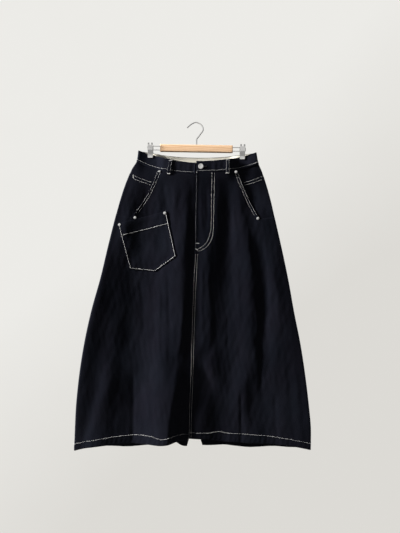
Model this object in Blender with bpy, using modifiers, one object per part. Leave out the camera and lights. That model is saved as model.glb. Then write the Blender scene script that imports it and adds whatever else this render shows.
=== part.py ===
"""A-line denim skirt hanging from a wooden clip hanger.

The frame is in metres with +Z up, and the front of the skirt faces -Y. The origin
is the inside top of the hanger's hook, where a rail or a wall pin carries it.
"right" and "left" in the names are the wearer's, so the wearer's right is at -X.
Sizes below are millimetres and are turned to metres where a mesh is made.
"""
import math
from collections import namedtuple

import bmesh
import bpy
from mathutils import Vector
from mathutils.bvhtree import BVHTree

MM = 0.001
GAP = 0.3                      # clearance between pieces that touch
RIGHT, LEFT = -1, 1            # the wearer's sides, as the sign of X
FRONT, BACK = -1, 1            # the two layers, as the sign of Y

# ---- cloth ------------------------------------------------------------------------
DENIM = 1.2                    # wall of one layer of denim
POCKET_CLOTH = 1.0             # wall of the pieces that lie behind another
HEM_THICKNESS = 2.4            # the hem is turned up, two layers
BAND_THICKNESS = 2.4
BAND_PROUD = 0.6               # the band stands this far outside the panels
FACING_THICKNESS = 1.0
COIN_LIFT = -(DENIM + GAP)     # outer face of the coin pocket, behind the front panel
UNDER_BAND_LIFT = BAND_PROUD - BAND_THICKNESS - GAP

# ---- the flattened tube: one row for each level, heights below the hook -------------
# right and left are half widths, front and back the depth of each layer at the
# middle, and corner the radius of the fold at the side seam.
Section = namedtuple("Section", "z right left front back corner")
SECTIONS = [
    Section(-90, 185.5, 191.5, 13, 12, 5.5),
    Section(-125, 190.5, 199.0, 13, 12, 5.5),
    Section(-150, 205.0, 210.0, 14, 13, 5.5),
    Section(-200, 225.5, 227.5, 14, 14, 5.6),
    Section(-250, 241.0, 242.0, 15, 14, 5.7),
    Section(-300, 254.5, 254.5, 15, 15, 5.8),
    Section(-400, 278.0, 279.0, 16, 16, 6.0),
    Section(-500, 300.0, 301.5, 17, 17, 6.2),
    Section(-600, 326.0, 321.0, 18, 18, 6.4),
    Section(-700, 346.5, 342.5, 19, 19, 6.6),
    Section(-800, 361.0, 359.5, 20, 20, 6.8),
    Section(-900, 370.0, 373.0, 21, 21, 7.0),
    Section(-970, 372.5, 380.0, 22, 22, 7.0),
    Section(-1050, 374.0, 380.0, 22, 22, 7.0),
]

# ---- level lines: height at the centre, height at the side, and how the line bends ---
Line = namedtuple("Line", "centre side power")
WAIST_SEAM = {
    (FRONT, RIGHT): Line(-165, -125, 2.2), (FRONT, LEFT): Line(-160, -128, 2.2),
    (BACK, RIGHT): Line(-144, -125, 2.0), (BACK, LEFT): Line(-144, -128, 2.0),
}
BAND_TOP = {
    (FRONT, RIGHT): Line(-131, -92, 1.6), (FRONT, LEFT): Line(-125, -92, 2.0),
    (BACK, RIGHT): Line(-109, -92, 2.0), (BACK, LEFT): Line(-109, -92, 2.0),
}
HEM = {
    (FRONT, RIGHT): Line(-1011, -1049, 3.0), (FRONT, LEFT): Line(-1005, -1034, 3.0),
    (BACK, RIGHT): Line(-1042, -1049, 3.0), (BACK, LEFT): Line(-1040, -1034, 3.0),
}
HEM_LIFT = 14.0                # the back hem rises in a fold beside the vent
HEM_LIFT_X, HEM_LIFT_WIDTH = -58.0, 22.0

# ---- folds: a row for each, from the hip past mid length to the hem ------------------
# x is where its crest runs, out how far it stands out (or in, where negative).
FOLD_LEVELS = (-170.0, -315.0, -565.0, -1000.0)
Fold = namedtuple("Fold", "hip_x mid_x hem_x width hip_out mid_out hem_out")
FOLDS = {
    FRONT: [
        Fold(-230, -290, -310, 40, 1, 4, 8),
        Fold(-220, -232, -325, 15, 0, 0, 5),
        Fold(-157, -196, -188, 45, -2, -5, -12),
        Fold(-32, -34, -79, 38, 3, 7, 20),
        Fold(-4, 0, -16, 22, -3, -7, -14),
        Fold(56, 44, 18, 24, 3, 4, 3),
        Fold(106, 88, 84, 30, -4, -8, -15),
        Fold(159, 182, 125, 32, 4, 7, 6),
        Fold(193, 222, 226, 24, -2, -6, -8),
        Fold(234, 276, 292, 30, 2, 4, 6),
    ],
    BACK: [
        Fold(-210, -262, -296, 38, 1, 4, 7),
        Fold(-150, -172, -204, 34, -2, -4, -6),
        Fold(-72, -94, -112, 42, 3, 6, 10),
        Fold(-8, -14, -34, 26, -2, -4, -6),
        Fold(84, 80, 104, 36, 3, 5, 9),
        Fold(148, 168, 186, 30, -2, -4, -6),
        Fold(206, 246, 268, 36, 2, 4, 8),
    ],
}

# ---- seams and openings ----------------------------------------------------------
Edge = namedtuple("Edge", "z right left")
POCKET_EDGE = [                # the slanted pocket edge, distance from the centre
    Edge(-140, 116, 126), Edge(-155, 122, 133), Edge(-189, 135, 146), Edge(-219, 148, 160),
    Edge(-257, 170, 178), Edge(-292, 193, 198), Edge(-310, 201, 207),
]
POCKET_END_Z = -310.0
POCKET_SHARE_END, POCKET_SHARE_HEM = 0.815, 0.74   # the same column further down
Seam = namedtuple("Seam", "z x")
CENTRE_FRONT = [Seam(-100, 1), Seam(-405, 0.5), Seam(-540, -4.5), Seam(-720, -7.5), Seam(-1020, -10)]
CENTRE_BACK = [Seam(-100, 0), Seam(-500, 2), Seam(-880, 8), Seam(-1050, 8)]
VENT_TOP_Z, VENT_BOTTOM_Z = -880.0, -1040.0
VENT_SPREAD = {RIGHT: 23.0, LEFT: 27.0}

# ---- lattice: shared rows (0 waist seam, 1 hem) and columns (0 centre, last side) -----
SEAM_TRIM = 0.0002
COIN_ROW, HIP_ROW, POCKET_ROW, FLY_ROW, HEM_ROW = 0.0445, 0.0535, 0.187, 0.2946, 0.976
HEM_STEP = 0.0015
POCKET_COLUMN, FLAT_COLUMN, LAST_COLUMN = 12, 16, 20
SIDE_STUB = 1.5                # a panel runs straight over its last stretch to the side seam

# ---- clip hanger ------------------------------------------------------------------
CLIP_X = 147.0
CLIP_WIDTH, CLIP_TOP_Z, CLIP_TIP_Z = 16.0, -68.0, -114.5
CLIP_PLATE = 1.0
CLIP_GRIP = {FRONT: 2.1, BACK: 3.4}      # depth of each layer between the jaws
PINCH_HALF_WIDTH, PINCH_END_Z = 34.0, -195.0
BAR_LENGTH, BAR_HEIGHT, BAR_DEPTH, BAR_CENTRE_Z = 232.0, 24.0, 10.0, -82.0
HOOK_WIRE, RAIL_WIRE = 4.0, 3.0
RAIL_SPACING, RAIL_END_X, RAIL_CORNER = 12.0, 156.5, 3.0
SOCKET_DEPTH = 12.0
BAR_ROUND = 2.0
RAIL_HEIGHTS = (BAR_CENTRE_Z + RAIL_SPACING / 2, BAR_CENTRE_Z - RAIL_SPACING / 2)
STEM_END_Z = BAR_CENTRE_Z
HOOK_ROUTE = [(0, 0, STEM_END_Z), (0, 0, -54), (9.5, 0, -39), (20, 0, -17), (0, 0, HOOK_WIRE / 2),
              (-15, 0, -2), (-31, 0, -15.5)]
HOOK_STEM_HANDLE = 6.0
JAW_PROFILE = {                # distance from y = 0 and height, down the inner face
    FRONT: [(10.5, CLIP_TOP_Z), (8.6, -76), (8.6, -90), (3.3, -104), (3.3, -112.5), (4.3, CLIP_TIP_Z)],
    BACK: [(10.5, CLIP_TOP_Z), (8.6, -76), (8.6, -90), (4.6, -98), (4.6, -112.5), (5.6, CLIP_TIP_Z)],
}
BODY_EAR_X, BODY_EAR_Y, BODY_EAR_Z = 5.0, (-6.0, 9.0), (-91.5, -72.5)
JAW_EAR_X, JAW_EAR_Y, JAW_EAR_Z = 3.6, (-9.0, 3.5), (-80.0, -72.5)
SPRING_LENGTH, SPRING_DIAMETER = 5.4, 7.0

# ---- pieces that lie on the cloth or behind it ----------------------------------------
FLY_SHIELD_ROW, FLY_SHIELD_COLUMNS = 0.0075, 3
BAND_TRIM, FACING_INSET = 0.005, 0.04
UNDERLAP = [(-6.0, BAND_PROUD), (-1.5, UNDER_BAND_LIFT), (12.0, UNDER_BAND_LIFT),
            (24.0, UNDER_BAND_LIFT), (36.0, UNDER_BAND_LIFT)]       # x, lift of each station
PATCH_OUTLINE = [(-93, -285.5), (-245.5, -327.5), (-206, -470), (-125, -477), (-59, -428)]   # x, z
LOOP_WIDTH, LOOP_THICKNESS, LOOP_ARCH = 12.0, 1.6, 1.5
LOOP_INSET, LOOP_BELOW_SEAM, LOOP_STEPS = 1.0, 10.0, 8
Loop = namedtuple("Loop", "name face top_x bottom_x")
BELT_LOOPS = [
    Loop("front_right", FRONT, -80.5, -87), Loop("front_left", FRONT, 100, 100.5),
    Loop("side_right", BACK, -174, -174), Loop("side_left", BACK, 174, 174), Loop("back", BACK, 0, 0),
]
Rivet = namedtuple("Rivet", "name x z")
RIVETS = [
    Rivet("pocket_right_top", -117, -158), Rivet("pocket_right_end", -192, -307),
    Rivet("pocket_left_top", 127, -156), Rivet("pocket_left_end", 199, -303),
    Rivet("patch_inner", -97.5, -291), Rivet("patch_outer", -240.5, -330.5),
]
RIVET_PROFILE = [(0, 1.9), (2.2, 1.7), (3.8, 1.0), (4.5, 0.4), (4.5, 0), (0, 0)]      # radius, height
BUTTON_PROFILE = [(0, 2.4), (4.2, 2.3), (5.2, 2.7), (7.4, 2.9), (8.5, 2.0), (8.5, 0.5), (7.4, 0), (0, 0)]
BUTTON_X, BUTTON_Z = 15.0, -142.0
FAR = 300.0                    # well outside the cloth, where sight lines start


# ---- shape of the hanging cloth ------------------------------------------------------
def smooth_value(table, z, column):
    """Value of a table's column at height z, on a smooth curve through its rows."""
    heights = [row.z for row in table]
    values = [getattr(row, column) for row in table]
    z = min(max(z, heights[-1]), heights[0])
    i = next(k for k in range(len(table) - 1) if z >= heights[k + 1])
    span = heights[i + 1] - heights[i]

    def slope(k):
        low, high = max(k - 1, 0), min(k + 1, len(table) - 1)
        return (values[high] - values[low]) / (heights[high] - heights[low])

    u = (z - heights[i]) / span
    start, end = slope(i) * span, slope(i + 1) * span
    rise = values[i + 1] - values[i]
    return values[i] + u * start + u * u * (3 * rise - 2 * start - end) + u ** 3 * (start + end - 2 * rise)


def half_width(x, z):
    return smooth_value(SECTIONS, z, "left" if x > 0 else "right")


def ramp(value, start, end):
    """0 at start, 1 at end, held flat outside them."""
    return min(max((value - start) / (end - start), 0.0), 1.0)


def fold_relief(face, x, z):
    """How far all folds together move the cloth outward at one place."""
    waist, hip, mid, hem = FOLD_LEVELS
    relief = 0.0
    for fold in FOLDS[face]:
        upper, middle, lower = ramp(z, waist, hip), ramp(z, hip, mid), ramp(z, mid, hem)
        out = fold.hip_out * upper + (fold.mid_out - fold.hip_out) * middle
        out += (fold.hem_out - fold.mid_out) * lower
        crest = fold.hip_x + (fold.mid_x - fold.hip_x) * middle + (fold.hem_x - fold.mid_x) * lower
        relief += out * math.exp(-((x - crest) / fold.width) ** 2)
    return relief


def depth(face, x, z):
    """Distance of the cloth's outer face from the middle plane, y = 0."""
    width, corner = half_width(x, z), smooth_value(SECTIONS, z, "corner")
    middle = smooth_value(SECTIONS, z, "front" if face == FRONT else "back")
    across = min(abs(x) / width, 1.0)
    full = corner + (middle - corner) * (1 - across ** 2)
    full += fold_relief(face, x, z) * (1 - across ** 4)
    pinch = math.exp(-((abs(x) - CLIP_X) / PINCH_HALF_WIDTH) ** 4)
    pinch *= 1 - ramp(z, CLIP_TIP_Z, PINCH_END_Z)
    full += (CLIP_GRIP[face] - full) * pinch
    round_off = ramp(abs(x), width - corner, width)
    return full * math.sqrt(1 - round_off ** 2)


def level(face, side, x, z, row):
    """Height of a lattice row: -1 band top, 0 waist seam, 1 hem."""
    across = min(abs(x) / half_width(x, z), 1.0)

    def line_height(lines):
        line = lines[face, side]
        return line.centre + (line.side - line.centre) * across ** line.power

    seam = line_height(WAIST_SEAM)
    if row <= 0:
        return seam - (line_height(BAND_TOP) - seam) * row
    hem = line_height(HEM)
    if face == BACK:
        hem += HEM_LIFT * math.exp(-((x - HEM_LIFT_X) / HEM_LIFT_WIDTH) ** 2)
    return seam + (hem - seam) * row


def centre_edge(face, side, z):
    """Distance of a panel's centre edge from x = 0, towards its own side."""
    line = CENTRE_FRONT if face == FRONT else CENTRE_BACK
    edge = side * smooth_value(line, z, "x") + GAP / 2
    if face == BACK:
        edge += VENT_SPREAD[side] * ramp(z, VENT_TOP_Z, VENT_BOTTOM_Z) ** 2
    return edge


def pocket_edge(side, z):
    """Distance of the slanted pocket edge from x = 0, and of its column below the pocket."""
    if z > POCKET_END_Z:
        return smooth_value(POCKET_EDGE, z, "left" if side == LEFT else "right")
    share = POCKET_SHARE_END
    share += (POCKET_SHARE_HEM - POCKET_SHARE_END) * ramp(z, POCKET_END_Z, SECTIONS[-1].z)
    return share * (half_width(side, z) - smooth_value(SECTIONS, z, "corner"))


def column_x(face, side, column, z):
    """x of a lattice column: even up to the side fold, then round it."""
    corner = smooth_value(SECTIONS, z, "corner")
    flat = half_width(side, z) - corner
    inner = centre_edge(face, side, z)
    knee = pocket_edge(side, z) if face == FRONT else inner + (flat - inner) * POCKET_COLUMN / FLAT_COLUMN
    if column <= POCKET_COLUMN:
        distance = inner + (knee - inner) * column / POCKET_COLUMN
    elif column <= FLAT_COLUMN:
        distance = knee + (flat - knee) * (column - POCKET_COLUMN) / (FLAT_COLUMN - POCKET_COLUMN)
    else:
        turn = (column - FLAT_COLUMN) / (LAST_COLUMN - FLAT_COLUMN)
        distance = flat + corner * math.sin(math.pi / 2 * turn)
    return side * distance


def cloth_point(face, side, row, column=None, x=None):
    """Point on the cloth's outer face, by lattice column or by its x."""
    z = level(face, side, side, 0.0, row)
    for _ in range(8):
        place = column_x(face, side, column, z) if x is None else x
        z = level(face, side, place, z, row)
    return Vector((place, face * depth(face, place, z), z))


def lattice(face, side, rows, columns):
    points = [[cloth_point(face, side, row, column) for column in columns] for row in rows]
    if columns[-1] == LAST_COLUMN:
        for line in points:
            line[-1].y = face * GAP / 2
            line[-2] = Vector((line[-1].x, face * SIDE_STUB, line[-1].z))
    return points


def outward_normals(points, face):
    """Unit normals of a lattice that starts on the given face, pointing out of the skirt."""
    last_row, last_column = len(points) - 1, len(points[0]) - 1
    normals = []
    for r in range(last_row + 1):
        upper, lower = points[max(r - 1, 0)], points[min(r + 1, last_row)]
        line = []
        for c in range(last_column + 1):
            across = points[r][min(c + 1, last_column)] - points[r][max(c - 1, 0)]
            line.append(across.cross(lower[c] - upper[c]).normalized())
        normals.append(line)
    if normals[0][0].y * face < 0:
        normals = [[-normal for normal in line] for line in normals]
    return normals


def moved(points, face, lift_at):
    """Lattice moved outward by lift_at(row index, column index)."""
    normals = outward_normals(points, face)
    return [
        [point + normals[r][c] * lift_at(r, c) for c, point in enumerate(line)]
        for r, line in enumerate(points)]


# ---- making objects -----------------------------------------------------------------
def clear_scene():
    for item in list(bpy.data.objects):
        bpy.data.objects.remove(item, do_unlink=True)


def new_collection(name):
    collection = bpy.data.collections.new(name)
    bpy.context.scene.collection.children.link(collection)
    return collection


def make_material(name, colour, roughness, metallic=0.0):
    material = bpy.data.materials.new(name)
    material.use_nodes = True
    shader = material.node_tree.nodes["Principled BSDF"]
    shader.inputs["Base Color"].default_value = (*colour, 1.0)
    shader.inputs["Roughness"].default_value = roughness
    shader.inputs["Metallic"].default_value = metallic
    return material


def add_object(name, data, material, collection):
    item = bpy.data.objects.new(name, data)
    data.materials.append(material)
    collection.objects.link(item)
    return item


def object_from_bmesh(name, bm, material, collection, smooth=True):
    mesh = bpy.data.meshes.new(name)
    bm.to_mesh(mesh)
    bm.free()
    if smooth:
        mesh.shade_smooth()
    return add_object(name, mesh, material, collection)


def sheet(points, face_normal, keep=None):
    """Triangulated sheet through lattice points; also the lattice row of each vertex."""
    bm = bmesh.new()
    vertices = {}
    rows = []
    for r in range(len(points) - 1):
        for c in range(len(points[0]) - 1):
            if keep and not keep(r, c):
                continue
            ring = [(r, c), (r + 1, c), (r + 1, c + 1), (r, c + 1)]
            for key in ring:
                if key not in vertices:
                    vertices[key] = bm.verts.new(points[key[0]][key[1]] * MM)
                    rows.append(key[0])
            bm.faces.new([vertices[key] for key in ring])
    bm.normal_update()
    bm.faces.ensure_lookup_table()
    if bm.faces[0].normal.dot(face_normal) < 0:
        bmesh.ops.reverse_faces(bm, faces=bm.faces)
    bmesh.ops.triangulate(bm, faces=bm.faces, quad_method="FIXED")
    return bm, rows


def thicken(item, thickness, outward=False):
    wall = item.modifiers.new("wall", "SOLIDIFY")
    wall.thickness = thickness * MM
    wall.offset = 1.0 if outward else -1.0
    wall.use_even_offset = True


def turned(name, profile, material, collection, segments=16):
    """Solid of revolution about +Z; profile rows are (radius, height), top to bottom."""
    bm = bmesh.new()
    ring = [bm.verts.new((radius * MM, 0, height * MM)) for radius, height in profile]
    for first, second in zip(ring, ring[1:]):
        bm.edges.new((first, second))
    item = object_from_bmesh(name, bm, material, collection, smooth=False)
    screw = item.modifiers.new("turn", "SCREW")
    screw.steps = segments
    screw.render_steps = segments
    screw.use_merge_vertices = True
    screw.merge_threshold = 0.00001
    return item


def box(name, size, centre, material, collection):
    bm = bmesh.new()
    bmesh.ops.create_cube(bm, size=1.0)
    bmesh.ops.scale(bm, vec=Vector(size) * MM, verts=bm.verts)
    bmesh.ops.translate(bm, vec=Vector(centre) * MM, verts=bm.verts)
    return object_from_bmesh(name, bm, material, collection, smooth=False)


def cylinder(name, diameter, start, end, material, collection):
    """Closed cylinder from start to end."""
    start, end = Vector(start) * MM, Vector(end) * MM
    bm = bmesh.new()
    bmesh.ops.create_cone(
        bm, cap_ends=True, segments=16, radius1=diameter / 2 * MM, radius2=diameter / 2 * MM,
        depth=(end - start).length)
    turn = (end - start).to_track_quat("Z", "Y").to_matrix().to_4x4()
    bmesh.ops.transform(bm, matrix=turn, verts=bm.verts)
    bmesh.ops.translate(bm, vec=(start + end) / 2, verts=bm.verts)
    return object_from_bmesh(name, bm, material, collection, smooth=False)


def combine(item, tool, operation="DIFFERENCE"):
    """Cut item with tool, or join tool to it."""
    tool.hide_render = True
    tool.display_type = "WIRE"
    boolean = item.modifiers.new(tool.name, "BOOLEAN")
    boolean.operation = operation
    boolean.object = tool


def wire(name, diameter, spline_type, points, material, collection):
    """Round wire with closed ends along a spline."""
    curve = bpy.data.curves.new(name, "CURVE")
    curve.dimensions = "3D"
    curve.bevel_depth = diameter / 2 * MM
    curve.bevel_resolution = 2
    curve.resolution_u = 5
    curve.use_fill_caps = True
    spline = curve.splines.new(spline_type)
    knots = spline.points if spline_type == "POLY" else spline.bezier_points
    knots.add(len(points) - 1)
    for knot, (x, y, z) in zip(knots, points):
        knot.co = (x * MM, y * MM, z * MM, 1.0) if spline_type == "POLY" else (x * MM, y * MM, z * MM)
    return add_object(name, curve, material, collection), knots


def steps(start, end, count):
    return [start + (end - start) * k / count for k in range(count + 1)]


# ---- skirt pieces -------------------------------------------------------------------
def panel_rows():
    rows = [SEAM_TRIM, COIN_ROW / 2, COIN_ROW] + steps(HIP_ROW, POCKET_ROW, 3)
    rows += steps(POCKET_ROW, FLY_ROW, 3)[1:]
    rows += steps(FLY_ROW, HEM_ROW - HEM_STEP, 16)[1:]
    return rows + [HEM_ROW, 1.0]


def build_panel(name, face, side, material, collection):
    """One quarter of the skirt; a front stops at its pocket edge above the pocket's end."""
    rows = panel_rows()
    points = lattice(face, side, rows, range(LAST_COLUMN + 1))
    pocket_row = rows.index(POCKET_ROW)

    def keep(r, c):
        return face == BACK or r >= pocket_row or c < POCKET_COLUMN

    bm, vertex_rows = sheet(points, Vector((0, face, 0)), keep)
    panel = object_from_bmesh(name, bm, material, collection)
    hem = panel.vertex_groups.new(name="hem")
    for index, row in enumerate(vertex_rows):
        turned_up = rows[row] >= HEM_ROW
        hem.add([index], 1.0 if turned_up else DENIM / HEM_THICKNESS, "REPLACE")
    thicken(panel, HEM_THICKNESS)
    panel.modifiers["wall"].vertex_group = hem.name


def build_under_piece(name, points, lift_at, thickness, material, collection):
    """A piece behind the front panel, made from the panel's own points moved inward."""
    bm, _ = sheet(moved(points, FRONT, lift_at), Vector((0, FRONT, 0)))
    piece = object_from_bmesh(name, bm, material, collection)
    thicken(piece, thickness)


def build_hip(side, side_name, material, collection):
    """Hip panel and the coin pocket on it, seen outside the slanted pocket edge."""
    rows = panel_rows()
    columns = range(POCKET_COLUMN - 1, LAST_COLUMN + 1)
    coin_row, pocket_row = rows.index(COIN_ROW), rows.index(POCKET_ROW)
    points = lattice(FRONT, side, rows[:pocket_row + 2], columns)
    open_columns = LAST_COLUMN - POCKET_COLUMN

    def coin_lift(r, c):
        """Behind the front panel where it is covered, level with it at the side seam."""
        if r + 1 >= pocket_row:
            return COIN_LIFT
        return COIN_LIFT * (1 - ramp(c - 1, 0, open_columns))

    def hip_lift(r, c):
        return coin_lift(r, c) - POCKET_CLOTH - GAP

    build_under_piece("hip_panel_" + side_name, points, hip_lift, POCKET_CLOTH, material, collection)
    build_under_piece(
        "coin_pocket_" + side_name, points[coin_row:], lambda r, c: coin_lift(r + coin_row, c),
        POCKET_CLOTH, material, collection)


def build_fly_shield(material, collection):
    """Underlap that closes the fly behind the wearer's left front."""
    rows = panel_rows()
    rows = [FLY_SHIELD_ROW] + rows[1:rows.index(FLY_ROW) + 1]
    points = lattice(FRONT, LEFT, rows, range(FLY_SHIELD_COLUMNS + 1))
    build_under_piece("fly_shield", points, lambda r, c: COIN_LIFT, DENIM, material, collection)


def crop(bm, outline):
    """Keep what lies inside a convex outline of (x, z) corners, listed anticlockwise from the front."""
    for (x, z), (next_x, next_z) in zip(outline, outline[1:] + outline[:1]):
        outside = Vector((next_z - z, 0, x - next_x))
        bmesh.ops.bisect_plane(
            bm, geom=bm.verts[:] + bm.edges[:] + bm.faces[:], dist=1e-7,
            plane_co=Vector((x, 0, z)) * MM, plane_no=outside, clear_outer=True)


def build_patch_pocket(material, collection):
    """Five-sided pocket sewn aslant on the wearer's right front."""
    rows = panel_rows()
    points = lattice(FRONT, RIGHT, rows, range(LAST_COLUMN + 1))
    points = moved(points, FRONT, lambda r, c: GAP)
    bm, _ = sheet(points, Vector((0, FRONT, 0)))
    crop(bm, PATCH_OUTLINE)
    pocket = object_from_bmesh("patch_pocket", bm, material, collection)
    thicken(pocket, DENIM, outward=True)


def band_lattice(rows):
    """The band's stations from the lap end round the back to the underlap, and their lifts."""
    stations = [(FRONT, LEFT, column) for column in range(LAST_COLUMN + 1)]
    stations += [(BACK, LEFT, column) for column in reversed(range(LAST_COLUMN))]
    stations += [(BACK, RIGHT, column) for column in range(1, LAST_COLUMN + 1)]
    stations += [(FRONT, RIGHT, column) for column in reversed(range(1, LAST_COLUMN))]
    lifts = [BAND_PROUD] * len(stations) + [lift for _, lift in UNDERLAP]
    points = [
        [cloth_point(face, side, row, column) for face, side, column in stations]
        + [cloth_point(FRONT, RIGHT, row, x=x) for x, _ in UNDERLAP]
        for row in rows]
    return points, lifts


def build_waistband(material, collection):
    points, lifts = band_lattice([-1.0, -0.5, -BAND_TRIM])
    points = moved(points, FRONT, lambda r, c: lifts[c])
    bm, _ = sheet(points, Vector((0, FRONT, 0)))
    band = object_from_bmesh("waistband", bm, material, collection)
    thicken(band, BAND_THICKNESS)


def build_facing(material, collection):
    """Pale facing inside the back of the band, from corner to corner."""
    rows = [-1.0 + FACING_INSET, -0.5, -FACING_INSET]
    points = [
        [cloth_point(BACK, LEFT, row, column) for column in reversed(range(FLAT_COLUMN + 1))]
        + [cloth_point(BACK, RIGHT, row, column) for column in range(1, FLAT_COLUMN + 1)]
        for row in rows]
    points = moved(points, BACK, lambda r, c: UNDER_BAND_LIFT)
    bm, _ = sheet(points, Vector((0, BACK, 0)))
    facing = object_from_bmesh("waistband_facing", bm, material, collection)
    thicken(facing, FACING_THICKNESS)


# ---- things that sit on the cloth -----------------------------------------------------
def cloth_trees(collection, names):
    graph = bpy.context.evaluated_depsgraph_get()
    return [BVHTree.FromObject(collection.objects[name], graph) for name in names]


def reach(trees, face, x, z):
    """How far the outermost of some pieces stands from y = 0 at one place."""
    start = Vector((x, face * FAR, z)) * MM
    hits = [tree.ray_cast(start, Vector((0, -face, 0)))[0] for tree in trees]
    return max((hit.y * face / MM for hit in hits if hit), default=0.0)


def build_belt_loop(loop, trees, material, collection):
    """Folded strip from the band's top edge to just below the seam, arched off the band."""
    face, side = loop.face, LEFT if loop.top_x > 0 else RIGHT
    seam = cloth_point(face, side, 0.0, x=loop.bottom_x).z
    top = cloth_point(face, side, -1.0, x=loop.top_x).z - LOOP_INSET
    bottom = seam - LOOP_BELOW_SEAM
    half_step = (top - bottom) / LOOP_STEPS / 2
    points = []
    for share in steps(0.0, 1.0, LOOP_STEPS):
        x, z = loop.top_x + (loop.bottom_x - loop.top_x) * share, top + (bottom - top) * share
        near = [(across, z + up) for across in steps(x - LOOP_WIDTH / 2, x + LOOP_WIDTH / 2, 4)
                for up in (-half_step, 0, half_step)]
        outer = max(reach(trees, face, *place) for place in near)
        outer += GAP + LOOP_ARCH * math.sin(math.pi * share)
        points.append([Vector((edge, face * outer, z)) for edge in (x - LOOP_WIDTH / 2, x + LOOP_WIDTH / 2)])
    bm, _ = sheet(points, Vector((0, face, 0)))
    strip = object_from_bmesh("belt_loop_" + loop.name, bm, material, collection)
    thicken(strip, LOOP_THICKNESS, outward=True)


def seat(item, radius, x, z, trees):
    """Stand a turned piece on the front, square to the cloth and just clear of it."""
    slope_x = (depth(FRONT, x + radius, z) - depth(FRONT, x - radius, z)) / (2 * radius)
    slope_z = (depth(FRONT, x, z + radius) - depth(FRONT, x, z - radius)) / (2 * radius)
    normal = -Vector((slope_x, 1, slope_z)).normalized()
    centre = Vector((x, -reach(trees, FRONT, x, z), z))
    height = 0.0
    for k in range(24):
        angle, ring = math.tau * k / 12, radius if k < 12 else radius / 2
        near_x, near_z = x + ring * math.cos(angle), z + ring * math.sin(angle)
        near = Vector((near_x, -reach(trees, FRONT, near_x, near_z), near_z))
        height = max(height, (near - centre).dot(normal))
    item.location = (centre + normal * (height + GAP)) * MM
    item.rotation_mode = "QUATERNION"
    item.rotation_quaternion = normal.to_track_quat("Z", "X")


def build_trim(collection, materials):
    names = [name + side for name in ("front_panel_", "back_panel_", "hip_panel_", "coin_pocket_")
             for side in ("right", "left")]
    trees = cloth_trees(collection, names + ["waistband"])
    for loop in BELT_LOOPS:
        build_belt_loop(loop, trees, materials["denim"], collection)
    trees += cloth_trees(collection, ["patch_pocket"])
    for rivet in RIVETS:
        item = turned("rivet_" + rivet.name, RIVET_PROFILE, materials["steel"], collection, segments=12)
        seat(item, RIVET_PROFILE[-2][0], rivet.x, rivet.z, trees)
    button = turned("waist_button", BUTTON_PROFILE, materials["steel"], collection, segments=20)
    seat(button, BUTTON_PROFILE[-2][0], BUTTON_X, BUTTON_Z, trees)


# ---- clip hanger --------------------------------------------------------------------
def build_bar(collection, cutters, material):
    """Wooden bar with a socket for the hook's stem and two in each end for the rails."""
    bar = box("hanger_bar", (BAR_LENGTH, BAR_DEPTH, BAR_HEIGHT), (0, 0, BAR_CENTRE_Z), material, collection)
    bevel = bar.modifiers.new("rounded edges", "BEVEL")
    bevel.width = BAR_ROUND * MM
    bevel.segments = 2
    stem_socket = cylinder(
        "socket_stem", HOOK_WIRE + 2 * GAP, (0, 0, STEM_END_Z - GAP), (0, 0, 0.5 * BAR_CENTRE_Z),
        material, cutters)
    combine(bar, stem_socket)
    for side in (RIGHT, LEFT):
        for z in RAIL_HEIGHTS:
            start = (side * (BAR_LENGTH / 2 - SOCKET_DEPTH - GAP), 0, z)
            socket = cylinder(
                f"socket_{side}_{-z:.0f}", RAIL_WIRE + 2 * GAP, start, (side * BAR_LENGTH, 0, z),
                material, cutters)
            combine(bar, socket)


def build_hook(collection, material):
    """Stem and open hook; the inside of its top is the origin."""
    _, knots = wire("hanger_hook", HOOK_WIRE, "BEZIER", HOOK_ROUTE, material, collection)
    for knot in knots:
        knot.handle_left_type = "AUTO"
        knot.handle_right_type = "AUTO"
    knots[0].handle_right_type = "VECTOR"
    knots[1].handle_left_type = "VECTOR"
    knots[1].handle_right_type = "FREE"
    knots[1].handle_right = knots[1].co + Vector((0, 0, HOOK_STEM_HANDLE)) * MM


def build_rail(side, side_name, collection, material):
    """One wire bent to a U: two rails that run from the bar's end through the clip."""
    upper, lower = RAIL_HEIGHTS
    inner = BAR_LENGTH / 2 - SOCKET_DEPTH
    points = [(inner, upper)]
    for turn in steps(90, 0, 4):
        angle = math.radians(turn)
        points.append((RAIL_END_X - RAIL_CORNER * (1 - math.cos(angle)),
                       upper - RAIL_CORNER * (1 - math.sin(angle))))
    points += [(x, upper + lower - z) for x, z in reversed(points)]
    route = [(side * x, 0, z) for x, z in points]
    wire("hanger_rail_" + side_name, RAIL_WIRE, "POLY", route, material, collection)


def jaw_plate(name, face, side, collection, material):
    """Bent plate of a clip: profile rows are (distance from y = 0, height) of its inner face."""
    half = CLIP_WIDTH / 2
    points = [
        [Vector((side * CLIP_X + edge, face * out, z)) for edge in (-half, half)]
        for out, z in JAW_PROFILE[face]]
    bm, _ = sheet(points, Vector((0, face, 0)))
    plate = object_from_bmesh(name, bm, material, collection, smooth=False)
    thicken(plate, CLIP_PLATE, outward=True)
    return plate


def add_ears(plate, name, spread, y_range, z_range, holes, side, collection, cutters, material):
    """Fold two ears from a plate, with holes for the rails."""
    for ear_side in (RIGHT, LEFT):
        centre = (side * CLIP_X + ear_side * spread, sum(y_range) / 2, sum(z_range) / 2)
        size = (CLIP_PLATE, y_range[1] - y_range[0], z_range[1] - z_range[0])
        ear = box(f"{name}_ear_{ear_side}", size, centre, material, cutters)
        combine(plate, ear, "UNION")
    for z in holes:
        start, end = side * CLIP_X - CLIP_WIDTH, side * CLIP_X + CLIP_WIDTH
        hole = cylinder(f"{name}_hole_{-z:.0f}", RAIL_WIRE + 2 * GAP, (start, 0, z), (end, 0, z),
                        material, cutters)
        combine(plate, hole)


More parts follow.
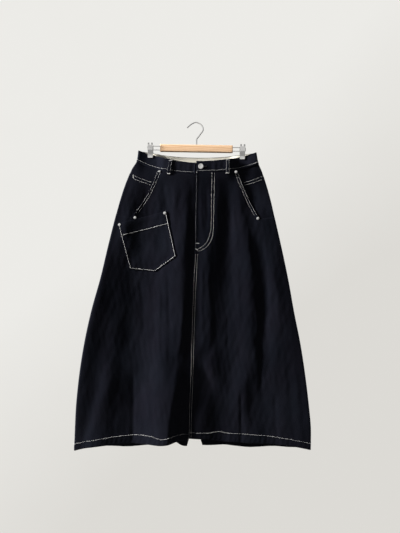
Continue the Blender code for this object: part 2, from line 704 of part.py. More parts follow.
def build_clip(side, side_name, collection, cutters, material):
    """Back plate that slides on both rails, front plate and spring that turn on the upper one."""
    body = jaw_plate("clip_body_" + side_name, BACK, side, collection, material)
    add_ears(body, "clip_body_" + side_name, BODY_EAR_X, BODY_EAR_Y, BODY_EAR_Z, RAIL_HEIGHTS,
             side, collection, cutters, material)
    jaw = jaw_plate("clip_jaw_" + side_name, FRONT, side, collection, material)
    add_ears(jaw, "clip_jaw_" + side_name, JAW_EAR_X, JAW_EAR_Y, JAW_EAR_Z, RAIL_HEIGHTS[:1],
             side, collection, cutters, material)
    centre = side * CLIP_X
    ends = [(centre + half, 0, RAIL_HEIGHTS[0]) for half in (-SPRING_LENGTH / 2, SPRING_LENGTH / 2)]
    spring = cylinder("clip_spring_" + side_name, SPRING_DIAMETER, *ends, material, collection)
    bore_ends = [(x + direction, y, z) for (x, y, z), direction in zip(ends, (-1, 1))]
    bore = cylinder(f"clip_spring_bore_{side_name}", RAIL_WIRE + 2 * GAP, *bore_ends, material, cutters)
    combine(spring, bore)


def main():
    clear_scene()
    collection = new_collection("denim_skirt_on_clip_hanger")
    cutters = new_collection("cutters")
    materials = {
        "denim": make_material("black_denim", (0.012, 0.013, 0.020), 0.85),
        "facing": make_material("ecru_twill", (0.74, 0.70, 0.60), 0.80),
        "steel": make_material("bright_steel", (0.72, 0.71, 0.69), 0.25, 1.0),
        "wood": make_material("pale_wood", (0.66, 0.42, 0.23), 0.45),
    }
    denim = materials["denim"]
    for side, side_name in ((RIGHT, "right"), (LEFT, "left")):
        build_panel("front_panel_" + side_name, FRONT, side, denim, collection)
        build_panel("back_panel_" + side_name, BACK, side, denim, collection)
        build_hip(side, side_name, denim, collection)
        build_rail(side, side_name, collection, materials["steel"])
        build_clip(side, side_name, collection, cutters, materials["steel"])
    build_fly_shield(denim, collection)
    build_patch_pocket(denim, collection)
    build_waistband(denim, collection)
    build_facing(materials["facing"], collection)
    build_trim(collection, materials)
    build_bar(collection, cutters, materials["wood"])
    build_hook(collection, materials["steel"])


main()
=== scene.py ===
"""Looks of the denim skirt on its clip hanger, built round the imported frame."""
import math
from collections import namedtuple

import bmesh
import bpy
import numpy as np
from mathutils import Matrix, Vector
from mathutils.bvhtree import BVHTree


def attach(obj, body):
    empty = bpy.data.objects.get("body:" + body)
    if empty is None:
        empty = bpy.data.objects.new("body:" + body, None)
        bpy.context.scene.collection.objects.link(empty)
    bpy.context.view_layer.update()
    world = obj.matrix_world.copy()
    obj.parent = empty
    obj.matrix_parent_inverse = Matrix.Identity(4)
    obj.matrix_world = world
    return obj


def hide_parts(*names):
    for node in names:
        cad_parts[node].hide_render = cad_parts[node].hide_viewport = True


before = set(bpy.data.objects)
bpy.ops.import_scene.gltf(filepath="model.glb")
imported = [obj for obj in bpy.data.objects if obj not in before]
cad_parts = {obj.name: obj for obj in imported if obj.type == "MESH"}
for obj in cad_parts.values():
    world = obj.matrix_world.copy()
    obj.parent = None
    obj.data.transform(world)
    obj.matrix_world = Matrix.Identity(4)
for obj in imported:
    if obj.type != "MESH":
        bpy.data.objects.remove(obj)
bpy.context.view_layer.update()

MM = 0.001
GAP = 0.3
RIGHT, LEFT = -1, 1            # the wearer's sides, as the sign of X
FRONT, BACK = -1, 1            # the two layers, as the sign of Y
SIDES = {RIGHT: "right", LEFT: "left"}

# ---- cloth ------------------------------------------------------------------------
DENIM = 1.2                    # wall of one layer of denim
POCKET_CLOTH = 1.0             # wall of the pieces that lie behind another
HEM_THICKNESS = 2.4            # the hem is turned up, two layers
BAND_THICKNESS = 2.4
BAND_PROUD = 0.6               # the band stands this far outside the panels
FACING_THICKNESS = 1.0
COIN_LIFT = -(DENIM + GAP)     # outer face of the coin pocket, behind the front panel
UNDER_BAND_LIFT = BAND_PROUD - BAND_THICKNESS - GAP

# ---- the flattened tube: one row for each level, heights below the hook -------------
# right and left are half widths, front and back the depth of each layer at the
# middle, and corner the radius of the fold at the side seam.
Section = namedtuple("Section", "z right left front back corner")
SECTIONS = [
    Section(-90, 185.5, 191.5, 13, 12, 5.5),
    Section(-125, 190.5, 199.0, 13, 12, 5.5),
    Section(-150, 205.0, 210.0, 14, 13, 5.5),
    Section(-200, 225.5, 227.5, 14, 14, 5.6),
    Section(-250, 241.0, 242.0, 15, 14, 5.7),
    Section(-300, 254.5, 254.5, 15, 15, 5.8),
    Section(-400, 278.0, 279.0, 16, 16, 6.0),
    Section(-500, 300.0, 301.5, 17, 17, 6.2),
    Section(-600, 326.0, 321.0, 18, 18, 6.4),
    Section(-700, 346.5, 342.5, 19, 19, 6.6),
    Section(-800, 361.0, 359.5, 20, 20, 6.8),
    Section(-900, 370.0, 373.0, 21, 21, 7.0),
    Section(-970, 372.5, 380.0, 22, 22, 7.0),
    Section(-1050, 374.0, 380.0, 22, 22, 7.0),
]

# ---- level lines: height at the centre, height at the side, and how the line bends ---
Line = namedtuple("Line", "centre side power")
WAIST_SEAM = {
    (FRONT, RIGHT): Line(-165, -125, 2.2), (FRONT, LEFT): Line(-160, -128, 2.2),
    (BACK, RIGHT): Line(-144, -125, 2.0), (BACK, LEFT): Line(-144, -128, 2.0),
}
BAND_TOP = {
    (FRONT, RIGHT): Line(-131, -92, 1.6), (FRONT, LEFT): Line(-125, -92, 2.0),
    (BACK, RIGHT): Line(-109, -92, 2.0), (BACK, LEFT): Line(-109, -92, 2.0),
}
HEM = {
    (FRONT, RIGHT): Line(-1011, -1049, 3.0), (FRONT, LEFT): Line(-1005, -1034, 3.0),
    (BACK, RIGHT): Line(-1042, -1049, 3.0), (BACK, LEFT): Line(-1040, -1034, 3.0),
}
HEM_LIFT = 14.0                # the back hem rises in a fold beside the vent
HEM_LIFT_X, HEM_LIFT_WIDTH = -58.0, 22.0

# ---- folds of the back, from the hip past mid length to the hem ------------------------
# x is where its crest runs, out how far it stands out (or in, where negative).
FOLD_LEVELS = (-170.0, -315.0, -565.0, -1000.0)
Fold = namedtuple("Fold", "hip_x mid_x hem_x width hip_out mid_out hem_out")
BACK_FOLDS = [
    Fold(-210, -262, -296, 38, 1, 4, 7),
    Fold(-150, -172, -204, 34, -2, -4, -6),
    Fold(-72, -94, -112, 42, 3, 6, 10),
    Fold(-8, -14, -34, 26, -2, -4, -6),
    Fold(84, 80, 104, 36, 3, 5, 9),
    Fold(148, 168, 186, 30, -2, -4, -6),
    Fold(206, 246, 268, 36, 2, 4, 8),
]

# ---- seams and openings ----------------------------------------------------------
Edge = namedtuple("Edge", "z right left")
POCKET_EDGE = [                # the slanted pocket edge, distance from the centre
    Edge(-140, 116, 126), Edge(-155, 122, 133), Edge(-189, 135, 146), Edge(-219, 148, 160),
    Edge(-257, 170, 178), Edge(-292, 193, 198), Edge(-310, 201, 207),
]
POCKET_END_Z = -310.0
POCKET_SHARE_END, POCKET_SHARE_HEM = 0.815, 0.74   # the same column further down
Seam = namedtuple("Seam", "z x")
CENTRE_FRONT = [Seam(-100, 1), Seam(-405, 0.5), Seam(-540, -4.5), Seam(-720, -7.5),
                Seam(-1020, -10)]
CENTRE_BACK = [Seam(-100, 0), Seam(-500, 2), Seam(-880, 8), Seam(-1050, 8)]
VENT_TOP_Z, VENT_BOTTOM_Z = -880.0, -1040.0
VENT_SPREAD = {RIGHT: 23.0, LEFT: 27.0}

# ---- lattice: shared rows (0 waist seam, 1 hem) and columns (0 centre, last side) -----
SEAM_TRIM = 0.0002
COIN_ROW, POCKET_ROW, FLY_ROW, HEM_ROW = 0.0445, 0.187, 0.2946, 0.976
HIP_END_ROW = POCKET_ROW + 0.0359
HEM_STEP = 0.0015
POCKET_COLUMN, FLAT_COLUMN, LAST_COLUMN = 12, 16, 20
SIDE_STUB = 1.5                # a panel runs straight over its last stretch to the side seam
GRID_ROUNDS = 8                # x and height of a lattice point follow each other, found in rounds

# ---- clip hanger ------------------------------------------------------------------
CLIP_X = 147.0
CLIP_WIDTH, CLIP_TOP_Z, CLIP_TIP_Z = 16.0, -68.0, -114.5
CLIP_PLATE = 1.0
CLIP_TIP_CORNER, CLIP_TOP_CORNER = (3.0, 1.65), (2.4, 1.2)     # length down the plate, and inset
PLATE_ROWS, PLATE_COLUMNS = 49, 33
CLIP_GRIP = {FRONT: 2.1, BACK: 3.4}      # depth of each layer between the jaws
PINCH_HALF_WIDTH, PINCH_END_Z = 34.0, -195.0              # the cloth round a clip is drawn in
PINCH_POWER = 4                # how squarely its bell ends
BAR_LENGTH, BAR_HEIGHT, BAR_DEPTH, BAR_CENTRE_Z = 232.0, 24.0, 10.0, -82.0
HOOK_WIRE, RAIL_WIRE = 4.0, 3.0
RAIL_SPACING, RAIL_END_X, RAIL_CORNER = 12.0, 156.5, 3.0
SOCKET_DEPTH = 12.0
BAR_SEGMENTS, BAR_STATIONS, BAR_END_RUN = 48, 25, 8.0
BAR_ENDS = [(0.0, 0.90), (0.35, 0.955), (1.1, 0.985), (2.2, 1.0)]     # distance from the end, size
BAR_DEPTH_POWER, BAR_HEIGHT_POWER = 0.5, 0.36                         # they square the section off
RAIL_HEIGHTS = (BAR_CENTRE_Z + RAIL_SPACING / 2, BAR_CENTRE_Z - RAIL_SPACING / 2)
HOOK_ROUTE = [(0, 0, BAR_CENTRE_Z), (0, 0, -54), (9.5, 0, -39), (20, 0, -17), (0, 0, HOOK_WIRE / 2),
              (-15, 0, -2), (-31, 0, -15.5)]
HOOK_STEM_HANDLE = 6.0
JAW_PROFILE = {                # distance from y = 0 and height, down the inner face
    FRONT: [(10.5, CLIP_TOP_Z), (8.6, -76), (8.6, -90), (3.3, -104), (3.3, -112.5), (4.3, CLIP_TIP_Z)],
    BACK: [(10.5, CLIP_TOP_Z), (8.6, -76), (8.6, -90), (4.6, -98), (4.6, -112.5), (5.6, CLIP_TIP_Z)],
}
Plate = namedtuple("Plate", "name face ear_x ear notch")     # ear is an outline of (y, z) corners
CLIP_PLATES = [
    Plate("clip_body_", BACK, 5.0, [(9.4, -72.0), (0.0, -71.4), (-5.2, -73.5), (-5.4, -90.0),
                                    (0.0, -92.0), (9.4, -92.6)], None),
    Plate("clip_jaw_", FRONT, 3.6, [(-9.2, -71.8), (-2.0, -71.6), (3.4, -74.0), (3.2, -79.2),
                                    (-2.0, -80.2), (-9.2, -81.0)], (3.2, 8.5)),
]
SPRING_WIRE, SPRING_LENGTH, SPRING_RADIUS, SPRING_TURNS, TURN_STEPS = 0.9, 5.4, 2.9, 4, 16
SPRING_ARMS = ((-3.1, 7.6, -6.0), (3.1, -7.4, -7.0))     # their ends, from the middle of the coil

# ---- pieces that lie on the cloth or behind it ----------------------------------------
FLY_SHIELD_ROW, FLY_SHIELD_COLUMNS = 0.0075, 3
BAND_TRIM, FACING_INSET = 0.005, 0.04
UNDERLAP = [(-6.0, BAND_PROUD), (-1.5, UNDER_BAND_LIFT), (12.0, UNDER_BAND_LIFT),
            (24.0, UNDER_BAND_LIFT), (36.0, UNDER_BAND_LIFT)]       # x, lift of each station
UNDERLAP_STEPS = 8
PATCH_OUTLINE = [(-93, -285.5), (-245.5, -327.5), (-206, -470), (-125, -477), (-59, -428)]   # x, z
LOOP_WIDTH, LOOP_THICKNESS, LOOP_ARCH = 12.0, 1.6, 1.5
LOOP_INSET, LOOP_BELOW_SEAM = 1.0, 10.0
LOOP_ROWS, LOOP_COLUMNS = 41, 15
LOOP_FEELERS = (-5.5, 0.0, 5.5)         # where the cloth under a loop is felt for, across it
LOOP_TACKS = ((38, 3.0), (2, 2.2))       # row and width of the bartack at each end
LOOP_TACK_COLUMNS, LOOP_STITCH_COLUMNS = [1, 7, 13], (2, 12)
Loop = namedtuple("Loop", "name face top_x bottom_x")
BELT_LOOPS = [
    Loop("front_right", FRONT, -80.5, -87), Loop("front_left", FRONT, 100, 100.5),
    Loop("side_right", BACK, -174, -174), Loop("side_left", BACK, 174, 174), Loop("back", BACK, 0, 0),
]
Form = namedtuple("Form", "segments reach profile")       # profile is (radius, height) rows
RIVET = Form(40, 4.3, [(0, 2.15), (0.9, 2.05), (1.35, 1.75), (1.7, 1.35), (2.6, 1.15), (3.6, 0.95),
                       (4.25, 0.6), (4.5, 0.2), (4.4, -0.3), (0, -0.3)])
BUTTON = Form(64, 7.5, [(0, 1.1), (3.4, 1.1), (4.7, 1.3), (5.3, 2.2), (6.0, 2.8), (7.0, 2.85),
                        (7.8, 2.5), (8.4, 1.9), (8.5, 1.1), (8.1, 0.5), (7.0, 0.2), (4.5, 0.0),
                        (4.5, -0.3), (0, -0.3)])
Trim = namedtuple("Trim", "name x z form")
TRIMS = [
    Trim("rivet_pocket_right_top", -117, -158, RIVET), Trim("rivet_pocket_right_end", -192, -307, RIVET),
    Trim("rivet_pocket_left_top", 127, -156, RIVET), Trim("rivet_pocket_left_end", 199, -303, RIVET),
    Trim("rivet_patch_inner", -97.5, -291, RIVET), Trim("rivet_patch_outer", -240.5, -330.5, RIVET),
    Trim("waist_button", 15.0, -142.0, BUTTON),
]
SEAT_FACING, SEAT_SHARE, SEAT_CLEAR = 0.8, 0.6, 0.1      # how a turned piece sits on uneven cloth
SEAT_FEELERS, SEAT_RINGS = 12, (0.5, 1.0)                # where the cloth under it is felt for
CORNER_CUT = 0.22              # share of an edge that each round of rounding cuts off its ends
FAR = 300.0                    # well outside the cloth, where sight lines start

# ---- lines of stitching, as (x, z) corners on the cloth --------------------------------
FLY_STITCH = [(50.6, -160), (50.6, -250), (50.6, -337), (48.2, -352), (43.8, -368), (37.0, -382),
              (29.2, -391.2), (19.6, -398), (10, -404)]
FLY_STITCH_OUTER = [(59, -160), (58.5, -250), (58, -337), (55.5, -359), (51, -376), (43, -390),
                    (32, -401), (20, -408), (9, -411)]
LAP_STITCH = [(2.2, -168), (1.8, -284), (2.6, -400)]
CENTRE_STITCH = [(5.5, -420), (3.5, -476), (1.0, -539), (-0.6, -627), (-2.0, -720), (-2.2, -777),
                 (-3.4, -827), (-4.6, -890), (-5.4, -940), (-5.6, -1003)]
CENTRE_ROWS = (-2.6, 3.8)      # two rows, this far from the line
POCKET_STITCH_INSETS, POCKET_STITCH_Z = (2.6, 10.6), (-159.0, -293.0)
COIN_STITCH = {
    RIGHT: [[(-198, -172.5), (-183, -179.5), (-161, -187), (-142, -193.5)],
            [(-199, -183), (-177, -191), (-154, -198.5), (-143, -202)]],
    LEFT: [[(152, -190), (171, -184.5), (187, -178.5), (211, -169.5)],
           [(155, -197.5), (171, -193), (190, -187), (211, -178.5)]],
}
PATCH_STITCH_INSET, PATCH_HEM, PATCH_HEM_INSET = 2.6, 38.8, 1.5
BACK_STITCH = [(3, -146), (3.4, -300), (5, -500), (8, -700), (11, -868)]
BACK_STITCH_OUTER = [(8.5, -146), (9, -300), (10.5, -500), (13.5, -700), (16.5, -868)]
VENT_STITCH_TOP_Z, VENT_STITCH_END_Z, VENT_STITCH_INSET = -884.0, -1016.0, 9.0
HEM_STITCH_DROP = 0.0012       # the hem's stitching runs this far below the hem's row, in rows
BAND_STITCH_ROW, BAND_STITCH_COLUMNS = -3, slice(2, -36)      # of the band's own points
Tack = namedtuple("Tack", "start end width")
FLY_TACKS = [Tack((3, -385), (14, -386), 2.0), Tack((2.5, -403), (10, -407), 2.4),
             Tack((2.6, -159.5), (2.5, -163.0), 1.5)]
COIN_TACKS = {RIGHT: [Tack((-199.5, -171.5), (-200.0, -181.5), 2.4)], LEFT: []}
BACK_TACKS = [Tack((0, -882), (18, -884), 2.2)]
BUTTONHOLE = [Tack((24.5, -140.2), (32.5, -140.2), 1.7), Tack((24.5, -142.8), (32.5, -142.8), 1.7),
              Tack((33.2, -139.6), (33.2, -143.4), 1.8)]

# ---- size of the stitches ------------------------------------------------------------
Stitch = namedtuple("Stitch", "pitch length width height")
STITCHES = {
    "fly": Stitch(3.6, 2.9, 0.46, 0.36), "lap": Stitch(3.6, 2.9, 0.38, 0.30),
    "centre": Stitch(3.6, 2.9, 0.56, 0.38), "pocket": Stitch(3.6, 2.9, 0.44, 0.35),
    "coin": Stitch(3.6, 2.9, 0.60, 0.44), "patch": Stitch(3.9, 3.3, 0.86, 0.52),
    "patch_hem": Stitch(3.9, 3.2, 0.85, 0.50), "back": Stitch(3.6, 2.9, 0.70, 0.45),
    "hem": Stitch(3.3, 2.9, 0.54, 0.40), "band": Stitch(3.6, 2.9, 0.62, 0.42),
    "loop": Stitch(3.0, 2.3, 0.30, 0.35),
}
Satin = namedtuple("Satin", "pitch thickness height")     # close cross stitches
BARTACK, HOLE_EDGE = Satin(0.75, 0.85, 0.7), Satin(0.55, 0.6, 0.4)
STITCH_SPREAD, STITCH_FLATNESS = 1.4, 0.55                # a sewn stitch is pressed flat
STITCH_LIFT, SATIN_LIFT, LOOP_STITCH_LIFT = 0.08, 0.1, 0.05
STITCH_REACH, TACK_REACH = 1.2, 1.0       # a stitch takes its direction from this far around
PITCH_STRAY, TURN_STRAY, LENGTH_STRAY, WIDTH_STRAY = 0.04, 0.035, 0.05, 0.07
LINE_STEP, TACK_STEP, CURVE_STEPS = 1.5, 0.5, 8           # how finely routes are laid and bent
STITCH_SHAPE = np.array([
    (-0.5, 0, -0.25), (0.5, 0, -0.25),
    (-0.32, -0.5, 0), (-0.32, -0.28, 0.8), (-0.32, 0.28, 0.8), (-0.32, 0.5, 0),
    (0.32, -0.5, 0), (0.32, -0.28, 0.8), (0.32, 0.28, 0.8), (0.32, 0.5, 0)])
STITCH_FACES = [(0, 3, 2), (0, 4, 3), (0, 5, 4), (0, 2, 5), (2, 3, 7, 6), (3, 4, 8, 7), (4, 5, 9, 8),
                (5, 2, 6, 9), (1, 6, 7), (1, 7, 8), (1, 8, 9), (1, 9, 6)]

# ---- folds of the front, line by line --------------------------------------------------
# Lines run down the front, in order from the wearer's right to the left: x at each level,
# then, at each level but the first, the slope from the line before to this one, in degrees,
# positive where the cloth comes forward. At the first level there are no folds yet.
LINE_LEVELS = (-175, -250, -330, -450, -570, -690, -765, -840, -930, -1010)
FRONT_LINES = [
    ((-206, -226, -247, -277, -309, -338, -347, -354, -359, -360),
     (1, 1, 0, 2, 2, 0, 0, 0, 0)),
    ((-190, -210, -225, -257, -281, -309, -312, -299, -323, -342),
     (2, 2.5, -4.5, -5, -5, -5, -4, -4, 0)),
    ((-170, -188, -197, -223, -233, -253, -266, -277, -299, -314),
     (-2, -3.5, -6, -7, -6, -3, 5, 8, 8)),
    ((-150, -158, -165, -195, -191, -189, -212, -229, -237, -244),
     (-4.5, -5, -5, -5.5, -5.5, -7, -8.5, -6, -4.5)),
    ((-125, -144, -149, -167, -169, -169, -182, -189, -190, -189),
     (0, -1, -1.5, -1, -1, -4.5, -6, -6.5, -5)),
    ((-100, -108, -117, -127, -133, -131, -136, -145, -147, -148),
     (5, 7, 6, 4.5, 6, 6, 8, 9.5, 12)),
    ((-75, -66, -73, -90, -85, -81, -82, -81, -91, -98),
     (6.5, 8.5, 8.5, 10, 9.5, 8.5, 11, 14, 16)),
    ((-40, -34, -31, -39, -39, -41, -54, -61, -73, -80),
     (4, 6.5, 11, 6.5, 1.5, -1.5, 2, 2, 4)),
    ((-6, -4, -1, 3, 1, -1, -12, -13, -17, -24),
     (-7, -9.5, -9, -9, -9.5, -10, -16, -21, -26)),
    ((20, 28, 31, 41, 45, 51, 26, 53, 31, 34),
     (2.5, 2.5, 3, 2.5, 1.5, -6.5, -7, 2.5, 5)),
    ((60, 62, 65, 63, 67, 73, 56, 71, 83, 98),
     (0, -0.5, -8.5, -9, -9, 4, 1, -9, -6.5)),
    ((100, 106, 107, 101, 99, 99, 94, 111, 113, 126),
     (-7.5, -9, -9.5, -5.5, -4.5, -7.5, -2, 2, 4.5)),
    ((140, 144, 157, 171, 185, 186, 198, 169, 165, 154),
     (5.5, 8.5, 8.5, 6, 4.5, 2.5, 4, 2, 0.5)),
    ((170, 174, 185, 211, 226, 221, 229, 227, 217, 214),
     (-2.5, -5, -7.5, -9.5, -10, -9, -3.5, -4, -1)),
    ((200, 207, 227, 249, 273, 271, 266, 261, 275, 276),
     (3, 2, 6, 10, 8, 5, 4, 3.5, 1.5)),
]
LAST_SLOPES = (2, 1, -3, -3, -1, 0.3, 1, 2, 0)      # from the last line to the side seam
SIDE_OUTS = (0, 2, 3, 4, 6, 7.5, 8, 8.5, 9.5, 10)   # relief of the folds at both side seams

# ---- creases that only the detailed cloth has ----------------------------------------
# Each runs from its upper to its lower end; bow moves its middle sideways, left and right
# are its widths on either side, and out is how far it stands out (or in, where negative).
Crease = namedtuple("Crease", "x0 z0 x1 z1 bow left right out")
CREASES = {
    FRONT: [
        Crease(-170, -500, -161, -700, 3, 9, 12, -0.8),
        Crease(-112, -500, -112, -770, 3, 18, 7, 1.1),
        Crease(-87, -425, -75, -760, 2, 7, 9, -0.8),
        Crease(-68, -185, -69, -330, 3, 9, 14, 1.5),
        Crease(-103, -190, -86, -300, -3, 8, 9, -0.9),
        Crease(-127, -225, -112, -300, 2, 8, 9, 0.7),
        Crease(-190, -780, -183, -1060, 0, 9, 6, -1.3),
        Crease(-149, -830, -135, -1040, 3, 9, 12, 0.8),
        Crease(-33, -560, -50, -760, 3, 8, 10, 0.8),
        Crease(26, -415, 29, -700, -3, 8, 7, 0.9),
        Crease(17, -200, 18, -380, 2, 5, 6, 0.5),
        Crease(35, -190, 41, -370, -2, 5, 6, -0.5),
        Crease(113, -230, 132, -420, 3, 12, 9, 0.9),
        Crease(133, -430, 144, -660, 3, 16, 7, 0.9),
        Crease(107, -600, 107, -730, 2, 4, 6, -0.6),
        Crease(167, -320, 190, -500, -4, 12, 7, 1.1),
        Crease(193, -560, 203, -700, 4, 7, 8, 1.1),
        Crease(214, -640, 220, -900, 0, 8, 8, -1.5),
        Crease(152, -830, 154, -1060, 2, 4, 7, -1.4),
        Crease(169, -800, 181, -1060, -2, 9, 12, 0.9),
        Crease(245, -470, 247, -700, -5, 12, 12, 1.3),
        Crease(295, -700, 313, -960, 4, 10, 12, -0.8),
        Crease(328, -740, 349, -1040, -3, 12, 10, 0.9),
        Crease(261, -840, 269, -1060, 2, 8, 10, -0.9),
    ],
    BACK: [
        Crease(-80, -210, -92, -420, 5, 13, 15, 1.3),
        Crease(-30, -230, -44, -460, -4, 12, 14, -1.2),
        Crease(66, -220, 82, -470, 5, 14, 14, 1.4),
        Crease(128, -330, 160, -600, 5, 15, 17, -1.6),
        Crease(-170, -360, -204, -640, -5, 15, 15, 1.7),
        Crease(-250, -520, -292, -860, 5, 14, 16, 2.2),
        Crease(-214, -700, -246, -1020, -4, 15, 13, -2.2),
        Crease(-60, -620, -74, -960, 6, 16, 18, 2.0),
        Crease(56, -560, 60, -870, -5, 14, 16, -1.8),
        Crease(112, -690, 138, -1020, 4, 16, 16, 2.2),
        Crease(214, -560, 236, -840, 5, 13, 15, 1.9),
        Crease(268, -680, 300, -1000, -5, 14, 14, -2.0),
        Crease(322, -760, 340, -1010, 3, 12, 12, 1.6),
    ],
}
SMOOTH_ABOVE_Z, UNEVEN_BELOW_Z = -160.0, -235.0      # the extra relief fades in between these
CREASE_UPPER_SIZE, CREASE_GROWTH = 0.75, 0.35             # a crease is wider at its lower end
CREASE_UPPER_TAPER, CREASE_LOWER_TAPER = 0.3, 0.25        # shares of its length
FOLD_SIDE_POWER, UNEVEN_SIDE_POWER = 4, 14                # relief dies out at the side seam
SWELLS, SWELL_SLOPE, SWELL_LENGTHS, SWELL_LEAN = 32, 0.011, (15.0, 150.0), 0.5
SWELL_SIZES = (0.5, 1.5)       # shares of a swell's usual height
SWELL_SEEDS = {FRONT: 11, BACK: 29}

# ---- finish of edges -----------------------------------------------------------------
ROWS_OF = {"coin": 12, "pocket": 26, "body": 146, "hem": 6}
COLUMNS_OF = {"flat": 76, "hip": 20, "side": 12}
LIP = 0.35                     # a cut or folded edge bulges this far
LIP_STEPS = 4
FLY_WIDTH_X, FLY_END_Z, FLY_RAISE = 58.0, -408.0, 0.35
FLY_EDGE_WIDTH, FLY_END_LENGTH = 5.0, 12.0
OVERLAP_RAISE, OVERLAP_SINK, OVERLAP_WIDTH = 0.85, -0.45, 9.0
POCKET_RAISE, POCKET_RAISE_WIDTH = 0.6, 11.0
POCKET_EDGE_MARGIN, POCKET_END_MARGIN = 1.0, 4.0      # how far past its edge and end it counts
HEM_RAISE, ROPE_LENGTH, ROPE_OUT = 0.45, 15.0, 0.32
ROPE_LEAN, ROPE_SWAY, ROPE_SWAY_LENGTH = 7.0, 3.0, 47.0
ROPE_RIPPLE, ROPE_RIPPLE_LENGTH, ROPE_RIPPLE_LEAN = 0.4, 9.7, 2.0
ROPE_START, ROPE_END = 0.08, 0.98      # shares of the rope's swell at the hem's top and bottom
HEM_FOLD_ABOVE, HEM_FOLD_RISE = 0.006, 0.008    # where the turned-up hem starts, in rows
HEM_DIPS = ((-94.0, 26.0, 0.0085), (86.0, 17.0, -0.0045))      # x, width, lower by (in rows)
HEM_ROW_Z, SKIRT_LENGTH = -1000.0, 855.0
FRONT_HEM_DROP = 8.0           # the front hem sags between its middle and its sides
SAG_START, SAG_RISE, SAG_END, SAG_FALL = 0.08, 0.2, 0.45, 0.5      # shares of the half width
VENT_CLOSING = 20.0            # the lap of the back ends over this height at the vent's top
VENT_LIP, VENT_LIP_TOP_Z, VENT_LIP_RISE = 0.4, VENT_TOP_Z + 5, 12.0
VENT_LIP_WIDTH, VENT_LIP_FADE = 8.0, 6.0
COIN_LIP, COIN_LIP_ROWS = 0.3, 0.012
COIN_HANG, COIN_HANG_X, COIN_HANG_RISE = 0.2, 130.0, 30.0      # its cloth waves outside this x
COIN_WAVE_X, COIN_WAVE_Z = 9.0, 14.0       # mm in x and in z for each radian of its waves
COIN_COVERED_ROW, COIN_COVERED_ROWS = 0.150, 0.030      # the front panel covers it from this row
Pucker = namedtuple("Pucker", "length out reach")      # waves beside a line of stitching
PUCKERS = {
    "fly": Pucker(15.0, 0.28, 9.0), "centre": Pucker(17.0, 0.25, 8.0), "pocket": Pucker(14.0, 0.25, 7.0),
    "back": Pucker(18.0, 0.25, 9.0), "patch": Pucker(13.0, 0.24, 6.5),
}
PUCKER_SWAY, PUCKER_SWAY_LENGTH, PUCKER_RIPPLE, PUCKER_RIPPLE_LENGTH = 1.7, 31.0, 0.5, 3.9
BAND_ROWS, BAND_SEED, BAND_WAVE_OUT, BAND_WAVE_LENGTHS = 15, 5, 0.16, (17, 23, 37, 61, 88)
BAND_WAVE_LEAN, BAND_WAVE_EDGE = 0.8, 0.05
BAND_PUFF, BAND_ROLL = 0.25, 0.35
BAND_ROLL_START, BAND_ROLL_RISE, BAND_ROLL_END = 0.84, 0.1, 0.97      # shares of its height
BAND_GRIP_WIDTH = 16.0         # the clips press the band flat over this half width
BAND_HIDDEN = 0.5              # where it lies this much lower it is smooth
BAND_LIP, PATCH_LIP, LOOP_LIP, PLATE_LIP = 0.8, 0.6, 0.4, 0.25
FACING_ROWS, FACING_WAVE_OUT = 11, 0.05
FACING_WAVES = ((5.3, 0), (8.9, 2))        # mm for each radian, and lean, of its waves
PATCH_BORDER = 0.03            # share of the patch pocket's size with closer rows and columns
PATCH_FOLD = 8.0               # width of the cloth folded under along its edges
PATCH_PUFF, PATCH_PUFF_WIDTH, PATCH_PUFF_HEIGHT, PATCH_PUFF_RAISE = 1.3, 26.0, 20.0, 6.0
PATCH_FOLDED, PATCH_FOLDED_FADE, PATCH_HEMMED, PATCH_HEMMED_FADE = 0.35, 3.0, 0.55, 3.5
PATCH_OPEN, PATCH_OPEN_HEIGHT, PATCH_OPEN_WIDTH = 0.7, 22.0, 30.0
PATCH_GROOVE, PATCH_GROOVE_WIDTH = 0.22, 1.8
PATCH_SWELLS = ((0.35, 13.0, 29.0, 0.0), (0.3, 21.0, -17.0, 1.0))      # out, mm a radian, start
PATCH_SWELL_WIDTH = 22.0
LOOP_ROLL, LOOP_ROUND, LOOP_ROUND_POWER, LOOP_SWAY, LOOP_SWAY_TURN = 0.16, 0.35, 6, 0.25, 7
LOOP_ARCH_RUN, LOOP_ARCH_POWER = 1.02, 0.8     # the arch ends just before the loop does
LOOP_BRIDGE, LOOP_EASE = 2, 4                  # rows it bridges each way, rounds of averaging
LOOP_DENT, LOOP_DENT_PLACE, LOOP_DENT_WIDTH = 0.25, 0.93, 0.03      # under the lower bartack


def smooth_step(value):
    """0 below 0 and 1 above 1, level at both ends."""
    value = np.clip(value, 0.0, 1.0)
    return value * value * (3 - 2 * value)


def fade(value, width):
    """1 below 0, falling smoothly to 0 over a width."""
    return 1 - smooth_step(value / width)


def ramp(value, start, end):
    """0 at start, 1 at end, held flat outside them."""
    return np.clip((value - start) / (end - start), 0.0, 1.0)


def bell(value, width, power=2):
    """1 at 0, falling off on both sides."""
    return np.exp(-(value / width) ** power)


def between(start, end, share):
    return start + (end - start) * share


def curve_rise(share, rise, start, end):
    """Rise of a smooth curve at a share of one step; start and end are its slopes there."""
    bend, twist = 3 * rise - 2 * start - end, start + end - 2 * rise
    return share * start + share * share * bend + share ** 3 * twist


def unit(vectors):
    return vectors / (np.linalg.norm(vectors, axis=-1, keepdims=True) + 1e-12)


def travel(points):
    """Distance of each point of a line from its start."""
    return np.concatenate([[0], np.cumsum(np.linalg.norm(np.diff(points, axis=0), axis=1))])


def averaged(values, rounds):
    """Values along a line, each averaged with its neighbours."""
    for _ in range(rounds):
        middle = (values[:-2] + values[1:-1] * 2 + values[2:]) / 4
        values = np.concatenate([values[:1], middle, values[-1:]])
    return values


def spread(start, end, count):
    return np.linspace(start, end, count + 1)


def joined(*parts):
    """Runs of numbers, each starting where the last one ends."""
    return np.concatenate([parts[0]] + [part[1:] for part in parts[1:]])


